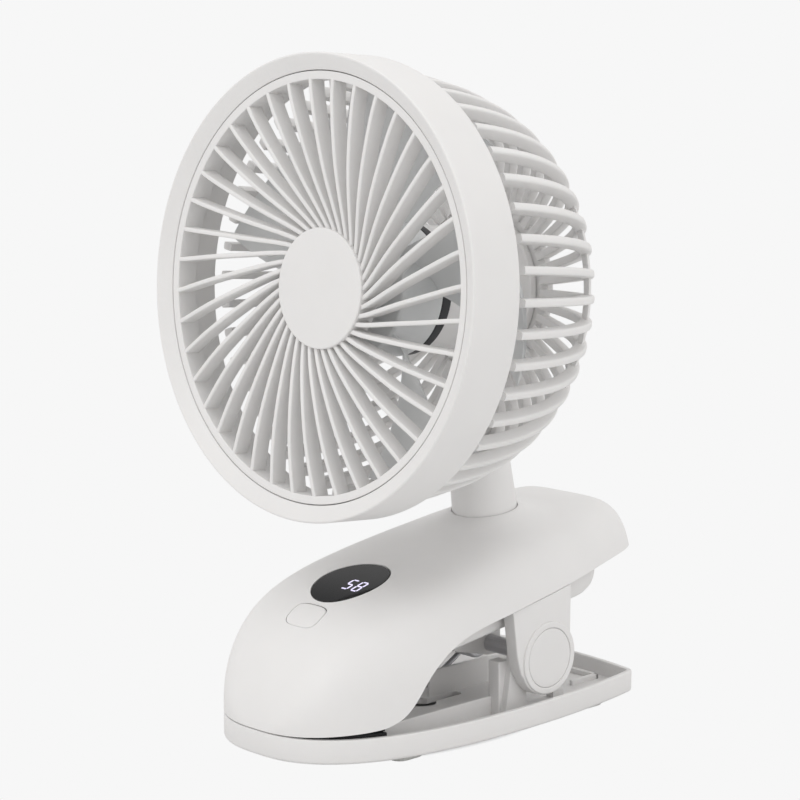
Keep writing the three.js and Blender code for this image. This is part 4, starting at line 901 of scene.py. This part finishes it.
def make_saddle():
    """The shell round the neck's cheeks: a drum trimmed to the cage's envelope, hollowed for the cheeks."""
    drum = hinge_drum("saddle", SADDLE_RADIUS, SADDLE_HALF)
    depth = CAGE_START + CAGE_DEPTH * np.sin(np.linspace(0, np.pi / 2, 40)) ** 1.2
    profile = [(0.01, CAGE_START), *zip(cage_radius(depth) - 0.05, depth), (0.01, depth[-1])]
    envelope = turned("envelope", profile, in_head, steps=320, radius=0)
    drum = combined(drum, envelope, "INTERSECT")
    return combined(drum, make_pocket())


def make_pocket():
    return hinge_drum("pocket", SADDLE_POCKET, SADDLE_POCKET_HALF)


def make_lug():
    """The tongue between the cheeks and the web that ties it to the cage's floor."""
    web = [(0, -7.8), (14, 4), (14, 12), (2, 13.5)]
    return hinge_drum("lug", 8.8, LUG_HALF), hinge_bar("web", web, LUG_HALF - 0.02)


def make_cage():
    """Rear cage: collar, ribs, shoulder hoop, rear disc, and the saddle and lug of the tilt hinge. The ribs
    and the hoop stop at the pocket that takes the neck's cheeks."""
    rear = CAGE_START + CAGE_DEPTH
    collar = turned("collar", [
        (69.4, 12), (RING_INNER - 0.3, 12), (RING_INNER - 0.3, RING_DEPTH + 0.3),
        (float(cage_radius(21.5)), 21.5), (69.4, 21.5),
    ], in_head, steps=320)
    disc = turned("disc", [
        (0.01, rear - 3.2), (DISC_R, rear - 3.2), (DISC_R, rear), (0.01, rear),
    ], in_head, steps=200, radius=[0, 0.5, 0.8, 0])
    outer = float(cage_radius(HOOP_DEPTH)) - 1.8
    hoop = turned("hoop", [
        (outer + 1, HOOP_DEPTH - 1.6), (outer - 1, HOOP_DEPTH + 1.6), (outer - 3.7, HOOP_DEPTH + 1.6),
        (outer - 1.7, HOOP_DEPTH - 1.6),
    ], in_head, steps=200, radius=0.8)
    hoop = combined(hoop, make_pocket())
    pitch = 2 * math.pi / RIBS
    ribs = []
    for i in range(RIBS):
        angle = RIB_PHASE + i * pitch
        one = make_ribs(1, angle)
        near_neck = math.cos(angle) < -0.93
        ribs.append(combined(one, make_pocket()) if near_neck else one)
    whole = joined("rear_cage_ribs", collar, disc, hoop, make_saddle(), *make_lug(), *ribs)
    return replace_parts(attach(whole, "head"), "rear_cage")


def make_impeller():
    """Blades as warped sheets round a hub: angle and depth grow together along the chord."""
    t = np.linspace(0, 1, 24)[:, None, None]
    chord = np.linspace(0, 1, 20)[None, :, None]
    face = np.array([-0.5, 0.5])[None, None]
    radius = IMPELLER_HUB - 1 + (IMPELLER_R - IMPELLER_HUB + 1) * t
    span = math.radians(42) * (0.86 + 0.3 * t)
    angle = math.radians(17) * t + (chord - 0.5) * span
    thick = 1.5 * (0.35 + 0.65 * np.sin(np.pi * chord) ** 0.5)
    depth = IMPELLER_FRONT + 1 + (IMPELLER_DEPTH - 2) * chord + 2.4 * np.sin(np.pi * chord) + face * thick
    angle, radius = angle + 0 * face, radius + 0 * face + 0 * chord
    sheet = np.stack([radius * np.sin(angle), radius * np.cos(angle), depth + 0 * radius], -1)
    loop = np.concatenate([sheet[:, :, 0], sheet[:, ::-1, 1]], 1)
    blades = []
    for i in range(BLADES):
        a = -2 * math.pi * i / BLADES
        turn = np.array([[math.cos(a), -math.sin(a), 0], [math.sin(a), math.cos(a), 0], [0, 0, 1]])
        blades.append(closed_loft("blade", in_head(loop @ turn)))
    back = IMPELLER_FRONT + IMPELLER_DEPTH
    hub = turned("hub", [
        (1.6, IMPELLER_FRONT), (IMPELLER_HUB, IMPELLER_FRONT), (IMPELLER_HUB, back),
        (IMPELLER_HUB - 1.8, back), (IMPELLER_HUB - 1.8, IMPELLER_FRONT + 2.8), (1.6, IMPELLER_FRONT + 2.8),
    ], in_head, steps=128, radius=[0.2, 1.6, 0.3, 0.3, 1, 0.2])
    whole = joined("impeller_blades", hub, *blades)
    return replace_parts(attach(whole, "rotor"), "impeller")


def make_motor():
    """Motor can with its front flange, and the cup that holds it on the cage's rear disc."""
    rim, r = high("motor_can")[0], MOTOR_RADIUS
    flange = MOTOR_FRONT + MOTOR_FLANGE
    can = turned("motor_can_body", [
        (1.7, MOTOR_FRONT), (rim, MOTOR_FRONT), (rim, flange),
        (r, flange), (r, MOTOR_REAR), (1.7, MOTOR_REAR),
    ], in_head, steps=160, radius=[0.2, 0.9, 0.3, 0.2, 0.4, 0.2])
    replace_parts(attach(can, "head"), "motor_can")
    seat = CAGE_START + CAGE_DEPTH - 3.7
    wall = r + GAP + 2
    cup = turned("motor_cup", [
        (0.01, MOTOR_REAR + GAP), (r + GAP, MOTOR_REAR + GAP), (r + GAP, flange + GAP), (wall, flange + GAP),
        (wall, seat - 3), (CUP_FLANGE, seat - 3), (CUP_FLANGE, seat), (0.01, seat),
    ], in_head, steps=128, radius=[0, 0.2, 0.5, 0.5, 1.5, 0.6, 0.3, 0])
    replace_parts(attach(cup, "head"), "motor_mount")
    return can, cup


# ---------------------------------------------------------------- materials


def shader(name):
    """A new node material and its principled shader."""
    material = bpy.data.materials.new(name)
    material.use_nodes = True
    tree = material.node_tree
    return material, tree, tree.nodes["Principled BSDF"]


def two_colours(tree, factor, dark, light):
    ramp = tree.nodes.new("ShaderNodeValToRGB")
    ramp.color_ramp.elements[0].color = (*dark, 1)
    ramp.color_ramp.elements[1].color = (*light, 1)
    tree.links.new(factor, ramp.inputs["Fac"])
    return ramp


def spread(tree, factor, low_end, high_end):
    """A factor of 0 to 1 mapped to a range."""
    mapped = tree.nodes.new("ShaderNodeMapRange")
    mapped.inputs["To Min"].default_value = low_end
    mapped.inputs["To Max"].default_value = high_end
    tree.links.new(factor, mapped.inputs["Value"])
    return mapped


def grain_group():
    """Shared moulded grain: colour factor, roughness and normal from the object's own coordinates."""
    group = bpy.data.node_groups.new("moulded_grain", "ShaderNodeTree")
    face = group.interface
    face.new_socket("Scale", in_out="INPUT", socket_type="NodeSocketFloat").default_value = 1.0
    face.new_socket("Strength", in_out="INPUT", socket_type="NodeSocketFloat").default_value = 0.1
    face.new_socket("Patch", in_out="OUTPUT", socket_type="NodeSocketFloat")
    face.new_socket("Normal", in_out="OUTPUT", socket_type="NodeSocketVector")
    nodes, links = group.nodes, group.links
    source, result = nodes.new("NodeGroupInput"), nodes.new("NodeGroupOutput")
    place = nodes.new("ShaderNodeTexCoord")
    fine = nodes.new("ShaderNodeTexNoise")
    fine.inputs["Detail"].default_value = 2.0
    broad = nodes.new("ShaderNodeTexNoise")
    broad.inputs["Scale"].default_value = 35.0
    broad.inputs["Detail"].default_value = 3.0
    bump = nodes.new("ShaderNodeBump")
    bump.inputs["Distance"].default_value = 0.00006
    size = nodes.new("ShaderNodeMath")
    size.operation = "MULTIPLY"
    size.inputs[1].default_value = 2600.0
    links.new(source.outputs["Scale"], size.inputs[0])
    links.new(size.outputs[0], fine.inputs["Scale"])
    links.new(place.outputs["Object"], fine.inputs["Vector"])
    links.new(place.outputs["Object"], broad.inputs["Vector"])
    links.new(fine.outputs["Fac"], bump.inputs["Height"])
    links.new(source.outputs["Strength"], bump.inputs["Strength"])
    links.new(broad.outputs["Fac"], result.inputs["Patch"])
    links.new(bump.outputs["Normal"], result.inputs["Normal"])
    return group


GRAIN = grain_group()


def moulded(name, light, dark, roughness, strength, scale=1.0, coat=0.0):
    """Moulded plastic or rubber: two close colours in soft patches, roughness that follows, fine grain."""
    material, tree, surface = shader(name)
    grain = tree.nodes.new("ShaderNodeGroup")
    grain.node_tree = GRAIN
    grain.inputs["Scale"].default_value = scale
    grain.inputs["Strength"].default_value = strength
    ramp = two_colours(tree, grain.outputs["Patch"], dark, light)
    ramp.color_ramp.elements[0].position = 0.3
    ramp.color_ramp.elements[1].position = 0.7
    rough = spread(tree, grain.outputs["Patch"], roughness * 1.1, roughness * 0.9)
    tree.links.new(ramp.outputs["Color"], surface.inputs["Base Color"])
    tree.links.new(rough.outputs["Result"], surface.inputs["Roughness"])
    tree.links.new(grain.outputs["Normal"], surface.inputs["Normal"])
    surface.inputs["Coat Weight"].default_value = coat
    return material, surface


def white_plastic():
    material, surface = moulded("white_plastic", (0.80, 0.79, 0.782), (0.775, 0.765, 0.757), 0.5, 0.45)
    surface.inputs["Subsurface Weight"].default_value = 0.06
    surface.inputs["Subsurface Radius"].default_value = (0.004, 0.0035, 0.003)
    surface.inputs["IOR"].default_value = 1.48
    return material


def milky_plastic():
    material, surface = moulded("milky_plastic", (0.78, 0.79, 0.79), (0.74, 0.75, 0.755), 0.3, 0.1)
    surface.inputs["Transmission Weight"].default_value = 0.12
    surface.inputs["IOR"].default_value = 1.48
    return material


def black_glass():
    material, surface = moulded("black_glass", (0.006, 0.006, 0.007), (0.003, 0.003, 0.004), 0.06, 0.01)
    surface.inputs["Specular IOR Level"].default_value = 0.12
    return material


def lit_strokes():
    """Light of the digits: pale violet, a little uneven from stroke to stroke."""
    material, tree, surface = shader("lit_strokes")
    noise = tree.nodes.new("ShaderNodeTexNoise")
    noise.inputs["Scale"].default_value = 900.0
    place = tree.nodes.new("ShaderNodeTexCoord")
    ramp = two_colours(tree, noise.outputs["Fac"], (0.62, 0.55, 0.95), (0.95, 0.92, 1.0))
    tree.links.new(place.outputs["Object"], noise.inputs["Vector"])
    tree.links.new(ramp.outputs["Color"], surface.inputs["Emission Color"])
    surface.inputs["Emission Strength"].default_value = 1.1
    surface.inputs["Base Color"].default_value = (0.1, 0.1, 0.12, 1)
    return material


def steel():
    """Plain bright steel: roughness and tint in fine streaks."""
    material, tree, surface = shader("steel")
    place = tree.nodes.new("ShaderNodeTexCoord")
    stretch = tree.nodes.new("ShaderNodeMapping")
    stretch.inputs["Scale"].default_value = (1, 14, 14)
    noise = tree.nodes.new("ShaderNodeTexNoise")
    noise.inputs["Scale"].default_value = 160.0
    rough = spread(tree, noise.outputs["Fac"], 0.22, 0.42)
    ramp = two_colours(tree, noise.outputs["Fac"], (0.5, 0.5, 0.52), (0.66, 0.66, 0.68))
    links = tree.links
    links.new(place.outputs["Object"], stretch.inputs["Vector"])
    links.new(stretch.outputs["Vector"], noise.inputs["Vector"])
    links.new(ramp.outputs["Color"], surface.inputs["Base Color"])
    links.new(rough.outputs["Result"], surface.inputs["Roughness"])
    surface.inputs["Metallic"].default_value = 1.0
    return material


MATERIALS = {
    "white_plastic": white_plastic(),
    "milky_plastic": milky_plastic(),
    "black_gloss": black_glass(),
    "dark_plastic": moulded("dark_plastic", (0.03, 0.03, 0.034), (0.02, 0.02, 0.024), 0.45, 0.3)[0],
    "dark_rubber": moulded("dark_rubber", (0.022, 0.022, 0.024), (0.014, 0.014, 0.016), 0.8, 0.8, 0.5)[0],
    "pale_rubber": moulded("pale_rubber", (0.66, 0.66, 0.64), (0.6, 0.6, 0.58), 0.7, 0.6, 0.5)[0],
    "circuit_board": moulded("circuit_board", (0.02, 0.16, 0.06), (0.015, 0.12, 0.05), 0.35, 0.2, 0.3)[0],
    "battery_wrap": moulded("battery_wrap", (0.07, 0.26, 0.48), (0.05, 0.22, 0.42), 0.3, 0.1)[0],
    "steel": steel(),
}


def finish(piece, slot):
    """Gives a piece the material of one of the record's slots."""
    piece.data.materials.clear()
    piece.data.materials.append(MATERIALS[slot])


# ---------------------------------------------------------------- stage, light and camera

EYE = (0.62425, -0.61655, 0.26005)
CAMERA_TURN = math.radians(45.8975)
CAMERA_DROP = math.radians(9.8)
LENS = 119.655


def make_camera():
    """The photograph's own camera, level, looking down on the fan from its right front."""
    a, e = CAMERA_TURN, CAMERA_DROP
    right = np.array([math.cos(a), math.sin(a), 0])
    back = np.array([math.sin(a) * math.cos(e), -math.cos(a) * math.cos(e), math.sin(e)])
    up = np.cross(back, right)
    data = bpy.data.cameras.new("camera")
    data.lens = LENS
    data.sensor_width = 36
    data.clip_end = 20
    camera = bpy.data.objects.new("camera", data)
    bpy.context.scene.collection.objects.link(camera)
    matrix = np.eye(4)
    matrix[:3, 0], matrix[:3, 1], matrix[:3, 2], matrix[:3, 3] = right, up, back, EYE
    camera.matrix_world = Matrix(matrix.tolist())
    bpy.context.scene.camera = camera


def stage_material():
    """A pale floor: near white to the camera, but left as it is lit under the base, where the fan shades it.
    The patch is an ellipse in the floor's own coordinates with a soft edge just inside the base's outline."""
    material = bpy.data.materials.new("pale_stage")
    material.use_nodes = True
    nodes, links = material.node_tree.nodes, material.node_tree.links
    nodes.clear()
    output = nodes.new("ShaderNodeOutputMaterial")
    mix = nodes.new("ShaderNodeMixShader")
    ray = nodes.new("ShaderNodeLightPath")
    seen = nodes.new("ShaderNodeEmission")
    seen.inputs["Color"].default_value = (0.93, 0.93, 0.93, 1)
    lit = nodes.new("ShaderNodeBsdfDiffuse")
    lit.inputs["Color"].default_value = (0.75, 0.75, 0.75, 1)
    place = nodes.new("ShaderNodeTexCoord")
    stretch = nodes.new("ShaderNodeMapping")
    stretch.inputs["Scale"].default_value = (1 / 0.038, 1 / 0.068, 1)
    stretch.inputs["Location"].default_value = (0, 0.045, 0)
    radius = nodes.new("ShaderNodeVectorMath")
    radius.operation = "LENGTH"
    outside = nodes.new("ShaderNodeMapRange")
    outside.inputs["From Min"].default_value = 0.85
    outside.inputs["From Max"].default_value = 1.0
    shown = nodes.new("ShaderNodeMath")
    shown.operation = "MULTIPLY"
    links.new(place.outputs["Object"], stretch.inputs["Vector"])
    links.new(stretch.outputs["Vector"], radius.inputs[0])
    links.new(radius.outputs["Value"], outside.inputs["Value"])
    links.new(outside.outputs["Result"], shown.inputs[0])
    links.new(ray.outputs["Is Camera Ray"], shown.inputs[1])
    links.new(shown.outputs["Value"], mix.inputs["Fac"])
    links.new(lit.outputs["BSDF"], mix.inputs[1])
    links.new(seen.outputs["Emission"], mix.inputs[2])
    links.new(mix.outputs["Shader"], output.inputs["Surface"])
    return material


def make_stage():
    """A flat square floor, just under the fan's feet."""
    size = 6.0
    mesh = bpy.data.meshes.new("floor")
    corners = [(-size, -size, 0), (size, -size, 0), (size, size, 0), (-size, size, 0)]
    mesh.from_pydata(corners, [], [(0, 1, 2, 3)])
    floor = bpy.data.objects.new("floor", mesh)
    bpy.context.scene.collection.objects.link(floor)
    floor.location.z = -0.0005
    floor.data.materials.append(stage_material())


def area_light(name, place, target, size, power, colour=(1, 1, 1)):
    data = bpy.data.lights.new(name, "AREA")
    data.shape = "RECTANGLE"
    data.size, data.size_y = size
    data.energy = power
    data.color = colour
    light = bpy.data.objects.new(name, data)
    light.location = place
    direction = Vector(target) - Vector(place)
    light.rotation_euler = direction.to_track_quat("-Z", "Y").to_euler()
    bpy.context.scene.collection.objects.link(light)
    return light


def make_lights():
    """A wide soft key from above the camera's left, a fill from the right and an even pale world."""
    target = (0, 0, 0.11)
    area_light("key", (-0.35, -1.3, 1.25), target, (1.4, 1.2), 5.4)
    area_light("top", (0.2, 0.1, 1.5), target, (1.6, 1.6), 3.2)
    area_light("right_fill", (1.5, -0.1, 0.4), target, (1.2, 1.2), 2.6)
    world = bpy.data.worlds.new("world")
    world.use_nodes = True
    nodes, links = world.node_tree.nodes, world.node_tree.links
    background = nodes["Background"]
    ray = nodes.new("ShaderNodeLightPath")
    mix = nodes.new("ShaderNodeMix")
    mix.data_type = "RGBA"
    mix.inputs[6].default_value = (0.86, 0.855, 0.85, 1)
    mix.inputs[7].default_value = (0.93, 0.93, 0.93, 1)
    links.new(ray.outputs["Is Camera Ray"], mix.inputs["Factor"])
    links.new(mix.outputs[2], background.inputs["Color"])
    bpy.context.scene.world = world


# ---------------------------------------------------------------- build

make_camera()
make_stage()
make_lights()
bpy.context.scene.view_settings.view_transform = "Standard"

white = [make() for make in (
    make_base, make_shell, make_housing, make_button, make_neck, make_ring, make_grille, make_cage,
)]
white += make_caps()
for piece in white:
    finish(piece, "white_plastic")
finish(make_display(), "black_gloss")
digits = make_digits()
digits.data.materials.append(lit_strokes())
finish(make_impeller(), "milky_plastic")
motor_can, motor_cup = make_motor()
finish(motor_can, "dark_plastic")
finish(make_spring(), "steel")
finish(motor_cup, "white_plastic")

slots = {row["node"]: row["material_slot"] for row in frame["record"]["subparts"]}
for name, node in frame["nodes"].items():
    finish(node, slots[name])
